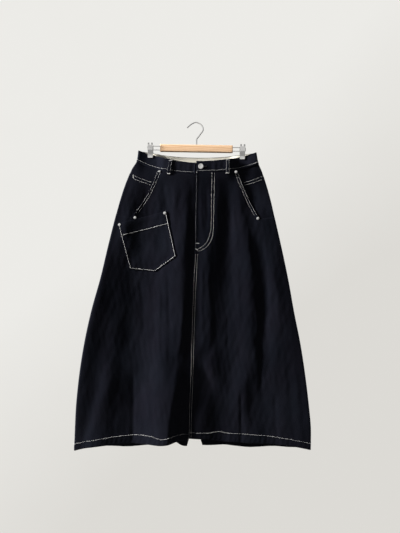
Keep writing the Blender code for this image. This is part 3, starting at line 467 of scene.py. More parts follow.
# ---- shape of the hanging cloth, as in the solids ---------------------------------------
def table_value(table, z, column):
    """Value of a table's column at heights z, on a smooth curve through its rows."""
    heights = np.array([row.z for row in table], float)
    values = np.array([getattr(row, column) for row in table], float)
    places = np.arange(len(table))
    low, high = np.maximum(places - 1, 0), np.minimum(places + 1, len(table) - 1)
    slopes = (values[high] - values[low]) / (heights[high] - heights[low])
    z = np.clip(z, heights[-1], heights[0])
    i = np.clip(np.searchsorted(-heights, -z, side="left") - 1, 0, len(table) - 2)
    span = heights[i + 1] - heights[i]
    rise = values[i + 1] - values[i]
    return values[i] + curve_rise((z - heights[i]) / span, rise, slopes[i] * span, slopes[i + 1] * span)


def half_width(x, z):
    return np.where(x > 0, table_value(SECTIONS, z, "left"), table_value(SECTIONS, z, "right"))


def back_folds(x, z):
    """How far all folds of the back together move the cloth outward."""
    waist, hip, mid, hem = FOLD_LEVELS
    upper, middle, lower = ramp(z, waist, hip), ramp(z, hip, mid), ramp(z, mid, hem)
    relief = 0.0
    for fold in BACK_FOLDS:
        out = fold.hip_out * upper + (fold.mid_out - fold.hip_out) * middle
        out = out + (fold.hem_out - fold.mid_out) * lower
        crest = fold.hip_x + (fold.mid_x - fold.hip_x) * middle + (fold.hem_x - fold.mid_x) * lower
        relief = relief + out * bell(x - crest, fold.width)
    return relief


Point = namedtuple("Point", "z x out")


def front_line_tables():
    """For each line, with the side seams, its x and how far the cloth stands out there."""
    levels = np.array(LINE_LEVELS, float)
    right, left = half_width(-1.0, levels), half_width(1.0, levels)
    places = np.array([-right, *(xs for xs, slopes in FRONT_LINES), left])
    slopes = np.radians([(0, *slopes) for xs, slopes in FRONT_LINES] + [(0, *LAST_SLOPES)])
    rises = np.tan(slopes) * np.diff(places, axis=0)
    heights = np.concatenate([[0 * levels], np.cumsum(rises, axis=0)])
    heights = heights - heights[-1] * (places + right) / (right + left)      # both seams level
    corner = table_value(SECTIONS, levels, "corner")
    across = places / np.where(places < 0, right, left)
    bulge = (table_value(SECTIONS, levels, "front") - corner) * (1 - across ** 2)
    outs = (heights - bulge + SIDE_OUTS) * (levels < LINE_LEVELS[0])
    return [[Point(*row) for row in zip(LINE_LEVELS, xs, line)] for xs, line in zip(places, outs)]


FRONT_LINE_TABLES = front_line_tables()


def front_relief(x, z):
    """The front's folds: at each height a smooth curve across the lines, without overshoot."""
    places = [table_value(line, z, "x") for line in FRONT_LINE_TABLES[1:-1]]
    places = np.array([-half_width(-1.0, z), *places, half_width(1.0, z)])
    outs = np.array([table_value(line, z, "out") for line in FRONT_LINE_TABLES])
    steps, rises = np.diff(places, axis=0), np.diff(outs, axis=0)
    slopes = rises / steps
    before, after = slopes[:-1], slopes[1:]
    mean = 2 * before * after / (before + after + 1e-12 * np.sign(before))
    slopes = np.concatenate([slopes[:1], np.where(before * after > 0, mean, 0.0), slopes[-1:]])
    relief = outs[0]
    for k, step in enumerate(steps):
        share = np.clip((x - places[k]) / step, 0, 1)
        curve = curve_rise(share, rises[k], slopes[k] * step, slopes[k + 1] * step)
        relief = np.where(x > places[k], outs[k] + curve, relief)
    return relief


def make_swells(seed):
    """Waves of uneven length and direction; each is (x rate, z rate, phase, height)."""
    dice = np.random.default_rng(seed)
    shortest, longest = SWELL_LENGTHS
    swells = []
    for _ in range(SWELLS):
        length = shortest * (longest / shortest) ** dice.uniform()
        lean = dice.normal(0.0, SWELL_LEAN)
        rate = math.tau / length
        swells.append((rate * math.cos(lean), rate * math.sin(lean), dice.uniform(0, math.tau),
                       SWELL_SLOPE / rate * dice.uniform(*SWELL_SIZES)))
    return swells


FACE_SWELLS = {face: make_swells(seed) for face, seed in SWELL_SEEDS.items()}


def uneven_relief(face, x, z):
    """Creases and swells that only the detailed cloth has."""
    relief = np.zeros(np.broadcast(x, z).shape)
    for crease in CREASES[face]:
        run = np.array([crease.x1 - crease.x0, crease.z1 - crease.z0], float)
        length = np.hypot(*run)
        along = ((x - crease.x0) * run[0] + (z - crease.z0) * run[1]) / length ** 2
        aside = ((x - crease.x0) * -run[1] + (z - crease.z0) * run[0]) / length
        inside = np.clip(along, 0, 1)
        aside = aside - crease.bow * np.sin(math.pi * inside)
        width = np.where(aside < 0, crease.left, crease.right) * (CREASE_UPPER_SIZE + CREASE_GROWTH * inside)
        taper = smooth_step(along / CREASE_UPPER_TAPER) * smooth_step((1 - along) / CREASE_LOWER_TAPER)
        relief += crease.out * bell(aside, width) * taper
    for x_rate, z_rate, phase, height in FACE_SWELLS[face]:
        relief += height * np.sin(x * x_rate + z * z_rate + phase)
    return relief * ramp(z, SMOOTH_ABOVE_Z, UNEVEN_BELOW_Z)


def depth(face, x, z):
    """Distance of the cloth's outer face from the middle plane, y = 0."""
    width, corner = half_width(x, z), table_value(SECTIONS, z, "corner")
    middle = table_value(SECTIONS, z, "front" if face == FRONT else "back")
    across = np.minimum(np.abs(x) / width, 1.0)
    full = between(corner, middle, 1 - across ** 2)
    if face == FRONT:
        full = full + front_relief(x, z)
    else:
        full = full + back_folds(x, z) * (1 - across ** FOLD_SIDE_POWER)
    pinch = bell(np.abs(x) - CLIP_X, PINCH_HALF_WIDTH, PINCH_POWER) * (1 - ramp(z, CLIP_TIP_Z, PINCH_END_Z))
    full = between(full, CLIP_GRIP[face], pinch)
    full = full + uneven_relief(face, x, z) * (1 - across ** UNEVEN_SIDE_POWER)
    round_off = ramp(np.abs(x), width - corner, width)
    return full * np.sqrt(1 - round_off ** 2)


def hem_sag(across):
    """Share of the front hem's drop, from 0 at the middle to 0 at the side."""
    return smooth_step((across - SAG_START) / SAG_RISE) * fade(across - SAG_END, SAG_FALL)


def level(face, side, x, z, row):
    """Height of a lattice row: -1 band top, 0 waist seam, 1 hem."""
    across = np.minimum(np.abs(x) / half_width(x, z), 1.0)
    top, seam, hem = (between(line.centre, line.side, across ** line.power)
                      for line in (lines[face, side] for lines in (BAND_TOP, WAIST_SEAM, HEM)))
    if face == FRONT:
        hem = hem - FRONT_HEM_DROP * hem_sag(across)
    else:
        hem = hem + HEM_LIFT * bell(x - HEM_LIFT_X, HEM_LIFT_WIDTH)
    return np.where(row <= 0, between(seam, top, -row), between(seam, hem, row))


def centre_edge(face, side, z):
    """Distance of a panel's centre edge from x = 0, towards its own side."""
    line = CENTRE_FRONT if face == FRONT else CENTRE_BACK
    edge = side * table_value(line, z, "x") + GAP / 2
    if face == BACK:
        edge = edge + VENT_SPREAD[side] * ramp(z, VENT_TOP_Z, VENT_BOTTOM_Z) ** 2
    return edge


def pocket_edge(side, z):
    """Distance of the slanted pocket edge from x = 0, and of its column below the pocket."""
    upper = table_value(POCKET_EDGE, z, SIDES[side])
    share = between(POCKET_SHARE_END, POCKET_SHARE_HEM, ramp(z, POCKET_END_Z, SECTIONS[-1].z))
    lower = share * (half_width(side, z) - table_value(SECTIONS, z, "corner"))
    return np.where(z > POCKET_END_Z, upper, lower)


def column_x(face, side, column, z):
    """x of a lattice column: even up to the side fold, then round it."""
    corner = table_value(SECTIONS, z, "corner")
    flat = half_width(side, z) - corner
    inner = centre_edge(face, side, z)
    knee = pocket_edge(side, z) if face == FRONT else between(inner, flat, POCKET_COLUMN / FLAT_COLUMN)
    near = between(inner, knee, column / POCKET_COLUMN)
    far = between(knee, flat, (column - POCKET_COLUMN) / (FLAT_COLUMN - POCKET_COLUMN))
    bend = flat + corner * np.sin(math.pi / 2 * ramp(column, FLAT_COLUMN, LAST_COLUMN))
    return side * np.where(column <= POCKET_COLUMN, near, np.where(column <= FLAT_COLUMN, far, bend))


def cloth_grid(face, side, rows, columns=None, x=None):
    """Points of the cloth's outer face, in mm, by lattice rows and columns or by rows and x."""
    row = np.asarray(rows, float)[:, None]
    across = np.asarray(columns if x is None else x, float)[None, :]
    row, across = np.broadcast_arrays(row, across)
    z = level(face, side, float(side), np.zeros(row.shape), row)
    for _ in range(GRID_ROUNDS):
        place = column_x(face, side, across, z) if x is None else across
        z = level(face, side, place, z, row)
    return np.stack([place, face * depth(face, place, z), z], axis=-1)


def sew_side(points, face):
    """A panel that reaches the side seam runs straight over its last stretch, half a gap short."""
    last = -COLUMNS_OF["side"]
    y = points[..., 1] * face
    y[:, last:] = np.maximum(y[:, last:], SIDE_STUB)
    y[:, -1] = GAP / 2
    points[..., 1] = y * face
    return points


def outward_normals(points, face):
    normals = unit(np.cross(np.gradient(points, axis=1), np.gradient(points, axis=0)))
    return normals if normals[0, 0, 1] * face > 0 else -normals


def pocket_rows():
    """Rows from the waist seam to the end of the pockets."""
    return joined(spread(SEAM_TRIM, COIN_ROW, ROWS_OF["coin"]),
                  spread(COIN_ROW, POCKET_ROW, ROWS_OF["pocket"]))


def panel_rows():
    return joined(
        pocket_rows(), spread(POCKET_ROW, HEM_ROW - HEM_STEP, ROWS_OF["body"]),
        spread(HEM_ROW - HEM_STEP, HEM_ROW, 1), spread(HEM_ROW, 1.0, ROWS_OF["hem"]))


def panel_columns(first=0.0, steps=COLUMNS_OF["flat"]):
    return joined(
        spread(first, POCKET_COLUMN, steps), spread(POCKET_COLUMN, FLAT_COLUMN, COLUMNS_OF["hip"]),
        spread(FLAT_COLUMN, LAST_COLUMN, COLUMNS_OF["side"]))


# ---- shells ----------------------------------------------------------------------------
cloth_faces = []               # (points, quads) of every outer face, for laying things on them


def add_piece(name, mesh, material, node=None, seat=None):
    """A finished piece on the root; node is the solid it stands for, seat its location and turn."""
    piece = bpy.data.objects.new(name, mesh)
    if seat:
        piece.rotation_mode = "QUATERNION"
        piece.location, piece.rotation_quaternion = seat
    bpy.context.scene.collection.objects.link(piece)
    mesh.materials.append(material)
    bpy.context.view_layer.update()
    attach(piece, "root")
    if node:
        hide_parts(node)
    return piece


def mesh_of(name, points, faces, sharp=None):
    """Smooth mesh from points in mm; edges that turn by more than sharp degrees stay sharp."""
    mesh = bpy.data.meshes.new(name)
    mesh.from_pydata((np.asarray(points) * MM).tolist(), [], faces)
    mesh.shade_smooth()
    if sharp:
        mesh.set_sharp_from_angle(angle=math.radians(sharp))
    return mesh


def grid_quads(rows, columns, keep):
    """Corners of each cell of a grid; keep, where given, tells which cells stay."""
    index = np.arange(rows * columns).reshape(rows, columns)
    quads = np.stack([index[:-1, :-1], index[1:, :-1], index[1:, 1:], index[:-1, 1:]], axis=-1)
    return quads.reshape(-1, 4) if keep is None else quads[keep]


def quad_crosses(points, quads):
    """Cross product of the diagonals of each quad: its normal, twice its area long."""
    a, b, c, d = (points[quads[:, k]] for k in range(4))
    return np.cross(c - a, d - b)


def closed_shell(outer, normals, thickness, keep, lip):
    """Sheet of a thickness under an outer face, with rounded edges: points, faces, outer face."""
    rows, columns = outer.shape[:2]
    thickness = np.broadcast_to(thickness, (rows, columns)).reshape(-1)
    points, normals = outer.reshape(-1, 3), normals.reshape(-1, 3)
    quads = grid_quads(rows, columns, keep)
    if (quad_crosses(points, quads) * normals[quads[:, 0]]).sum() < 0:
        quads = quads[:, ::-1]
    used, quads = np.unique(quads, return_inverse=True)
    quads = quads.reshape(-1, 4)
    points, normals, thickness = points[used], normals[used], thickness[used][:, None]
    count = len(points)

    starts, ends = quads.reshape(-1), np.roll(quads, -1, axis=1).reshape(-1)
    border = ~np.isin(starts * count + ends, ends * count + starts)
    starts, ends = starts[border], ends[border]
    away = np.cross(unit(points[ends] - points[starts]), normals[starts])
    push = np.zeros_like(points)
    np.add.at(push, starts, away)
    np.add.at(push, ends, away)
    rim = np.unique(starts)
    push = unit(push[rim])
    place = np.zeros(count, int)
    place[rim] = np.arange(len(rim))

    layers, offsets = [points, points - normals * thickness], [rim]
    half = normals[rim] * thickness[rim] / 2
    for k in range(1, LIP_STEPS):
        angle = math.pi * k / LIP_STEPS
        layers.append(points[rim] - half + half * math.cos(angle) + push * lip * math.sin(angle))
        offsets.append(count * 2 + (k - 1) * len(rim) + np.arange(len(rim)))
    offsets.append(rim + count)
    faces = [quads, quads[:, ::-1] + count]
    for upper, lower in zip(offsets, offsets[1:]):
        faces.append(np.stack([upper[place[ends]], upper[place[starts]],
                               lower[place[starts]], lower[place[ends]]], axis=1))
    return np.concatenate(layers), np.concatenate(faces).tolist(), (points, quads)


def add_cloth(node, face, outer, thickness, material, keep=None,
              lip=LIP):
    """A sheet of cloth by its outer face; returns its outward normals."""
    normals = outward_normals(outer, face)
    points, faces, skin = closed_shell(outer, normals, thickness, keep, lip)
    cloth_faces.append(skin)
    name = "cloth_" + node
    piece = add_piece(name, mesh_of(name, points, faces), material, node)
    return normals


# ---- cloth pieces ----------------------------------------------------------------------
def near_line(points, route):
    """Distance of each point from a line of (x, z) corners, and how far along the line it is."""
    best = np.full(points.shape[:-1], 1e9)
    along = np.zeros(points.shape[:-1])
    run = 0.0
    for (x0, z0), (x1, z1) in zip(route, route[1:]):
        step = np.array([x1 - x0, z1 - z0], float)
        length = np.hypot(*step)
        x, z = points[..., 0] - x0, points[..., 2] - z0
        share = np.clip((x * step[0] + z * step[1]) / length ** 2, 0, 1)
        gap = np.hypot(x - share * step[0], z - share * step[1])
        along = np.where(gap < best, run + share * length, along)
        best = np.minimum(best, gap)
        run += length
    return best, along


def pucker(points, route, kind):
    """Small waves that a line of stitching draws into the cloth beside it."""
    length, out, reach = PUCKERS[kind]
    gap, along = near_line(points, route)
    wave = np.sin(along * math.tau / length + PUCKER_SWAY * np.sin(along / PUCKER_SWAY_LENGTH))
    wave = wave + PUCKER_RIPPLE * np.sin(along / PUCKER_RIPPLE_LENGTH + 1.0)
    return out * wave * bell(gap, reach)


def pocket_line(side, inset):
    """Line of stitching that follows the slanted pocket edge."""
    heights = np.linspace(*POCKET_STITCH_Z, 15)
    return list(zip((side * (pocket_edge(side, heights) - inset)).tolist(), heights.tolist()))


def hem_dip(face, x):
    """How much lower the hem's stitching runs at x, in rows."""
    if face == BACK:
        return np.zeros(np.shape(x))
    sag = FRONT_HEM_DROP * hem_sag(np.abs(x) / half_width(x, np.full(np.shape(x), HEM_ROW_Z)))
    dips = sum(rows * bell(x - place, width) for place, width, rows in HEM_DIPS)
    return dips - sag * HEM_ROW / SKIRT_LENGTH


def hem_lift(face, rows, points):
    """The turned-up hem stands out a little and twists into a slanting rope."""
    row, x = np.asarray(rows)[:, None], points[..., 0]
    turned_up = smooth_step((row - hem_dip(face, x) - HEM_ROW + HEM_FOLD_ABOVE) / HEM_FOLD_RISE)
    below = np.clip((row - HEM_ROW) / (1 - HEM_ROW), 0, 1)
    place = x + below * ROPE_LEAN + ROPE_SWAY * np.sin(x / ROPE_SWAY_LENGTH)
    rope = np.sin(math.tau * place / ROPE_LENGTH)
    rope = rope + ROPE_RIPPLE * np.sin(math.tau * x / ROPE_RIPPLE_LENGTH + below * ROPE_RIPPLE_LEAN)
    swollen = np.sin(math.pi * np.clip(between(ROPE_START, ROPE_END, below), 0, 1))
    return turned_up * (HEM_RAISE + ROPE_OUT * rope * swollen)


def wall_of(rows):
    """Thickness of a panel by row: one layer, and two at the hem."""
    row = np.asarray(rows)[:, None]
    return between(DENIM, HEM_THICKNESS, smooth_step((row - HEM_ROW + HEM_STEP) / HEM_STEP))


def front_lift(side, rows, points):
    """Lap of the left front over the right, fly facing, pocket edge and hem."""
    x, z = points[..., 0], points[..., 2]
    lift = hem_lift(FRONT, rows, points)
    lap = OVERLAP_RAISE if side == LEFT else OVERLAP_SINK
    lift = lift + lap * fade(side * x - centre_edge(FRONT, side, z), OVERLAP_WIDTH)
    if side == LEFT:
        lift = lift + pucker(points, FLY_STITCH, "fly") + pucker(points, CENTRE_STITCH, "centre")
        fly = smooth_step((FLY_WIDTH_X - x) / FLY_EDGE_WIDTH)
        fly = fly * smooth_step((z - FLY_END_Z) / FLY_END_LENGTH)
        lift = lift + FLY_RAISE * fly
    to_pocket = pocket_edge(side, z) - side * x
    inside = to_pocket > -POCKET_EDGE_MARGIN
    open_pocket = (z > POCKET_END_Z - POCKET_END_MARGIN) & inside
    lift = lift + np.where(open_pocket, POCKET_RAISE * fade(to_pocket, POCKET_RAISE_WIDTH), 0.0)
    return lift + pucker(points, pocket_line(side, POCKET_STITCH_INSETS[0]), "pocket") * inside


def build_front_panel(side, material):
    rows, columns = panel_rows(), panel_columns()
    base = sew_side(cloth_grid(FRONT, side, rows, columns), FRONT)
    outer = base + outward_normals(base, FRONT) * front_lift(side, rows, base)[..., None]
    outer[:, -1, 1] = FRONT * GAP / 2
    row, column = np.meshgrid(rows[:-1], columns[:-1], indexing="ij")
    keep = (row > POCKET_ROW - 1e-9) | (column < POCKET_COLUMN - 1e-9)
    add_cloth("front_panel_" + SIDES[side], FRONT, outer, wall_of(rows), material, keep=keep)


def build_back_panel(side, material):
    rows = panel_rows()
    base = sew_side(cloth_grid(BACK, side, rows, panel_columns()), BACK)
    z = base[..., 2]
    from_centre = side * base[..., 0] - centre_edge(BACK, side, z)
    lap = OVERLAP_RAISE if side == LEFT else OVERLAP_SINK
    closed = fade(VENT_TOP_Z - z + VENT_CLOSING / 2, VENT_CLOSING)
    lift = hem_lift(BACK, rows, base) + lap * fade(from_centre, OVERLAP_WIDTH) * closed
    vent_lip = smooth_step((VENT_LIP_TOP_Z - z) / VENT_LIP_RISE)
    vent_lip = vent_lip * fade(from_centre - VENT_LIP_WIDTH, VENT_LIP_FADE)
    lift = lift + VENT_LIP * vent_lip
    if side == LEFT:
        lift = lift + pucker(base, BACK_STITCH, "back")
    outer = base + outward_normals(base, BACK) * lift[..., None]
    outer[:, -1, 1] = BACK * GAP / 2
    add_cloth("back_panel_" + SIDES[side], BACK, outer, wall_of(rows), material)


def build_hip(side, material):
    """Hip panel and coin pocket, behind the front panel where it covers them."""
    rows = joined(pocket_rows(), spread(POCKET_ROW, HIP_END_ROW, 6))
    columns = panel_columns(POCKET_COLUMN - 1, 5)
    base = sew_side(cloth_grid(FRONT, side, rows, columns), FRONT)
    normals = outward_normals(base, FRONT)
    row, column = np.meshgrid(rows, columns, indexing="ij")
    shown = 1 - ramp(column, POCKET_COLUMN, LAST_COLUMN)
    covered = smooth_step((row - COIN_COVERED_ROW) / COIN_COVERED_ROWS)
    x, z = base[..., 0], base[..., 2]
    hang = COIN_HANG * np.sin(x / COIN_WAVE_X + z / COIN_WAVE_Z)
    hang = hang * smooth_step((side * x - COIN_HANG_X) / COIN_HANG_RISE)
    lift = COIN_LIFT * between(shown, 1.0, covered) + hang * smooth_step((LAST_COLUMN - 1 - column) / 3)
    hip = base + normals * (lift - POCKET_CLOTH - GAP)[..., None]
    add_cloth("hip_panel_" + SIDES[side], FRONT, hip, POCKET_CLOTH, material)
    coin = base + normals * (lift + COIN_LIP * fade(row - COIN_ROW, COIN_LIP_ROWS))[..., None]
    add_cloth("coin_pocket_" + SIDES[side], FRONT, coin[ROWS_OF["coin"]:], POCKET_CLOTH, material)


def build_fly_shield(material):
    base = cloth_grid(FRONT, LEFT, spread(FLY_SHIELD_ROW, FLY_ROW, 50), spread(0.0, FLY_SHIELD_COLUMNS, 16))
    add_cloth("fly_shield", FRONT, base + outward_normals(base, FRONT) * COIN_LIFT, DENIM, material)


def band_parts(rows):
    """Points round the band from the lap end to the underlap, with the lift of each column."""
    columns = panel_columns()
    back = columns[::-1]
    xs, station_lifts = zip(*UNDERLAP)
    underlap_x = joined(*(spread(a, b, UNDERLAP_STEPS) for a, b in zip(xs, xs[1:])))
    points = np.concatenate([
        cloth_grid(FRONT, LEFT, rows, columns), cloth_grid(BACK, LEFT, rows, back)[:, 1:],
        cloth_grid(BACK, RIGHT, rows, columns)[:, 1:], cloth_grid(FRONT, RIGHT, rows, back)[:, 1:-1],
        cloth_grid(FRONT, RIGHT, rows, x=underlap_x)], axis=1)
    tail = np.interp(underlap_x, xs, station_lifts)
    return points, np.concatenate([np.full(points.shape[1] - len(tail), BAND_PROUD), tail])


def build_waistband(material):
    """The band, its waves and its roll above the seam; returns its outer face and normals."""
    base, lifts = band_parts(np.linspace(-1.0, -BAND_TRIM, BAND_ROWS))
    middle = base[BAND_ROWS // 2]
    along = travel(middle)
    down = np.linspace(0, 1, BAND_ROWS)[:, None]
    dice = np.random.default_rng(BAND_SEED)
    waves = sum(
        BAND_WAVE_OUT * np.sin(math.tau * along / length + dice.uniform(0, 6.28) + BAND_WAVE_LEAN * down)
        for length in BAND_WAVE_LENGTHS)
    roll = smooth_step((down - BAND_ROLL_START) / BAND_ROLL_RISE)
    roll = roll * fade(down - BAND_ROLL_END, 1 - BAND_ROLL_END)
    puff = BAND_PUFF * np.sin(math.pi * down) + BAND_ROLL * roll
    shown = smooth_step((lifts - BAND_PROUD + BAND_HIDDEN) / BAND_HIDDEN)
    free = 1 - bell(np.abs(middle[:, 0]) - CLIP_X, BAND_GRIP_WIDTH, PINCH_POWER)
    relief = waves * np.sin(math.pi * np.clip(down, BAND_WAVE_EDGE, 1)) + puff
    outer = base + outward_normals(base, FRONT) * (lifts + shown * free * relief)[..., None]
    return outer, add_cloth("waistband", FRONT, outer, BAND_THICKNESS, material, lip=BAND_LIP)


def build_facing(material):
    rows = np.linspace(-1.0 + FACING_INSET, -FACING_INSET, FACING_ROWS)
    columns = joined(spread(0.0, POCKET_COLUMN, 50), spread(POCKET_COLUMN, FLAT_COLUMN, 14))
    base = np.concatenate([cloth_grid(BACK, LEFT, rows, columns[::-1]),
                           cloth_grid(BACK, RIGHT, rows, columns)[:, 1:]], axis=1)
    along = base[FACING_ROWS // 2, :, 0]
    down = np.linspace(0, 1, FACING_ROWS)[:, None]
    waves = sum(np.sin(along / length + lean * down) for length, lean in FACING_WAVES)
    lift = UNDER_BAND_LIFT + FACING_WAVE_OUT * waves * np.sin(math.pi * down)
    outer = base + outward_normals(base, BACK) * lift[..., None]
    add_cloth("waistband_facing", BACK, outer, FACING_THICKNESS, material)


def front_surface(x, z):
    """Points and outward normals of the bare front at places (x, z)."""
    step = 1.0
    slope_x = (depth(FRONT, x + step, z) - depth(FRONT, x - step, z)) / (2 * step)
    slope_z = (depth(FRONT, x, z + step) - depth(FRONT, x, z - step)) / (2 * step)
    normals = -unit(np.stack([slope_x, np.ones_like(slope_x), slope_z], axis=-1))
    return np.stack([x, -depth(FRONT, x, z), z], axis=-1), normals


def build_patch_pocket(material):
    """Five-sided pocket: its edges are folded under, its top is hemmed and stands a little open."""
    top_in, top_out, low_out, low_mid, low_in = (np.array(corner, float) for corner in PATCH_OUTLINE)
    outer_part, inner_part = np.hypot(*(low_mid - low_out)), np.hypot(*(low_in - low_mid))
    bend = outer_part / (outer_part + inner_part)
    start, end = PATCH_BORDER, 1 - PATCH_BORDER
    first, last = spread(0, start, 4), spread(end, 1, 4)
    across = joined(first, spread(start, bend, 30), spread(bend, end, 26), last)
    downward = joined(first, spread(start, end, 58), last)
    along, down = (share[..., None] for share in np.meshgrid(across, downward))
    low = np.where(along < bend, between(low_out, low_mid, along / bend),
                   between(low_mid, low_in, (along - bend) / (1 - bend)))
    places = between(between(top_out, top_in, along), low, down)
    x, z = places[..., 0], places[..., 1]
    bare, normals = front_surface(x, z)
    folded_edge = PATCH_OUTLINE[1:] + PATCH_OUTLINE[:1]
    to_edge, _ = near_line(bare, folded_edge)
    to_top, _ = near_line(bare, PATCH_OUTLINE[:2])
    puff = smooth_step(to_edge / PATCH_PUFF_WIDTH)
    puff = puff * smooth_step((to_top + PATCH_PUFF_RAISE) / PATCH_PUFF_HEIGHT)
    lift = GAP + DENIM + PATCH_PUFF * puff
    lift = lift + PATCH_FOLDED * fade(to_edge - PATCH_FOLD, PATCH_FOLDED_FADE)
    lift = lift + PATCH_HEMMED * fade(to_top - PATCH_HEM, PATCH_HEMMED_FADE)
    mouth = fade(to_top, PATCH_OPEN_HEIGHT) * smooth_step(to_edge / PATCH_OPEN_WIDTH)
    lift = lift + PATCH_OPEN * mouth
    lift = lift - PATCH_GROOVE * bell(to_edge - PATCH_STITCH_INSET, PATCH_GROOVE_WIDTH)
    lift = lift + pucker(bare, folded_edge, "patch")
    swell = sum(out * np.sin(x / x_rate + z / z_rate + start_at)
                for out, x_rate, z_rate, start_at in PATCH_SWELLS)
    swell = swell * smooth_step(to_edge / PATCH_SWELL_WIDTH)
    outer = bare + normals * (lift + swell)[..., None]
    add_cloth("patch_pocket", FRONT, outer, DENIM, material, lip=PATCH_LIP)


# ---- laying things on the cloth ----------------------------------------------------------
def cloth_tree():
    points, faces, start = [], [], 0
    for part, quads in cloth_faces:
        points.extend(part.tolist())
        faces.extend((quads + start).tolist())
        start += len(part)
    return BVHTree.FromPolygons(points, faces)


def touch(tree, face, x, z):
    """Outermost cloth at one place: its point and outward normal in mm, or nothing."""
    hit, normal, _, _ = tree.ray_cast(Vector((x, face * FAR, z)), Vector((0, -face, 0)))
    if hit is None:
        return None
    return np.array(hit), np.array(normal if normal.y * face > 0 else -normal)


def even(normals):
    return unit(averaged(normals, 3))


def drape(tree, face, route, step=LINE_STEP):
    """A line of (x, z) corners laid on the cloth: points and smoothed normals."""
    route = np.asarray(route, float)
    lengths = travel(route)
    stops = np.arange(0, lengths[-1] + step / 2, step)
    places = zip(*(np.interp(stops, lengths, route[:, k]) for k in (0, 1)))
    hits = [hit for hit in (touch(tree, face, x, z) for x, z in places) if hit]
    points, normals = (np.array(values) for values in zip(*hits))
    return points, even(normals)


def curve_through(corners):
    """A smooth line through (x, z) corners."""
    corners = np.asarray(corners, float)
    padded = np.concatenate([2 * corners[:1] - corners[1:2], corners, 2 * corners[-1:] - corners[-2:-1]])
    line = []
    for p0, p1, p2, p3 in zip(padded, padded[1:], padded[2:], padded[3:]):
        for share in np.linspace(0, 1, CURVE_STEPS, endpoint=False):
            line.append(p1 + curve_rise(share, p2 - p1, (p2 - p0) / 2, (p3 - p1) / 2))
    return np.array(line + [corners[-1]])


# ---- stitches ------------------------------------------------------------------------------
def place_on(points, normals, distances, stop, reach=STITCH_REACH):
    """Point, direction and normal of a line at a distance from its start."""
    def at(values, place):
        return np.array([np.interp(place, distances, values[:, k]) for k in range(3)])

    return at(points, stop), at(points, stop + reach) - at(points, stop - reach), unit(at(normals, stop))


class Thread:
    """Stitches of one thread, gathered and then made as one piece."""

    def __init__(self, seed):
        self.dice = np.random.default_rng(seed)
        self.points, self.faces = [], []

    def add(self, centre, along, normal, length, width, height):
        along = unit(along)
        across = unit(np.cross(normal, along))
        shape = STITCH_SHAPE * (length, width, height)
        start = len(self.points) * len(STITCH_SHAPE)
        self.points.append(centre + shape[:, :1] * along + shape[:, 1:2] * across + shape[:, 2:] * normal)
        self.faces.extend(tuple(start + corner for corner in face) for face in STITCH_FACES)

    def run(self, points, normals, stitch):
        """Stitches one after another along a line."""
        distances = travel(points)
        stops = np.arange(stitch.pitch / 2, distances[-1], stitch.pitch)
        stops = stops + self.dice.normal(0, PITCH_STRAY * stitch.pitch, len(stops))
        for stop in stops:
            spot, along, normal = place_on(points, normals, distances, stop)
            along = along + np.cross(normal, along) * self.dice.normal(0, TURN_STRAY)
            length = stitch.length * self.dice.normal(1, LENGTH_STRAY)
            width = STITCH_SPREAD * stitch.width * self.dice.normal(1, WIDTH_STRAY)
            self.add(spot + normal * STITCH_LIFT, along, normal, length, width,
                     STITCH_FLATNESS * stitch.height)

    def satin(self, points, normals, width, satin=BARTACK):
        """Close cross stitches, as in a bartack or a buttonhole's edge."""
        distances = travel(points)
        for stop in np.arange(0, distances[-1] + 0.01, satin.pitch):
            spot, along, normal = place_on(points, normals, distances, stop, TACK_REACH)
            length = width * self.dice.normal(1, LENGTH_STRAY)
            self.add(spot + normal * SATIN_LIFT, np.cross(normal, along), normal, length,
                     satin.thickness, satin.height)

    def finish(self, name, material):
        add_piece(name, mesh_of(name, np.concatenate(self.points), self.faces), material)


def sew(tree, name, seed, material, rows, tacks=(), satin=BARTACK, face=FRONT):
    """A thread with rows of stitching, each a face, a route and a kind of stitch, and bartacks."""
    thread = Thread(seed)
    for row_face, route, kind in rows:
        thread.run(*drape(tree, row_face, route), STITCHES[kind])
    for tack in tacks:
        thread.satin(*drape(tree, face, [tack.start, tack.end], TACK_STEP), tack.width, satin)
    thread.finish(name, material)


# ---- hardware --------------------------------------------------------------------------
def turned_mesh(name, form):
    """Solid of revolution about +Z through the rows of a form, from the axis outward and back."""
    points, faces, rings = [], [], []
    turns = [math.tau * k / form.segments for k in range(form.segments)]
    for radius, height in rounded(form.profile):
        start = len(points)
        if radius < 1e-6:
            rings.append([start] * form.segments)
            points.append((0.0, 0.0, height))
        else:
            rings.append(list(range(start, start + form.segments)))
            points.extend((radius * math.cos(turn), radius * math.sin(turn), height) for turn in turns)
    for upper, lower in zip(rings, rings[1:]):
        for k in range(form.segments):
            after = (k + 1) % form.segments
            ring = [upper[k], lower[k], lower[after], upper[after]]
            ring = [v for i, v in enumerate(ring) if v != ring[i - 1]]
            if len(ring) > 2:
                faces.append(ring)
    return mesh_of(name, points, faces, sharp=50)


def rounded(profile, rounds=2):
    """A profile with its corners cut and cut again, ends kept."""
    line = [np.array(p, float) for p in profile]
    for _ in range(rounds):
        fresh = [line[0]]
        for a, b in zip(line, line[1:]):
            fresh += [between(a, b, CORNER_CUT), between(a, b, 1 - CORNER_CUT)]
        line = fresh + [line[-1]]
    return [tuple(p) for p in line]


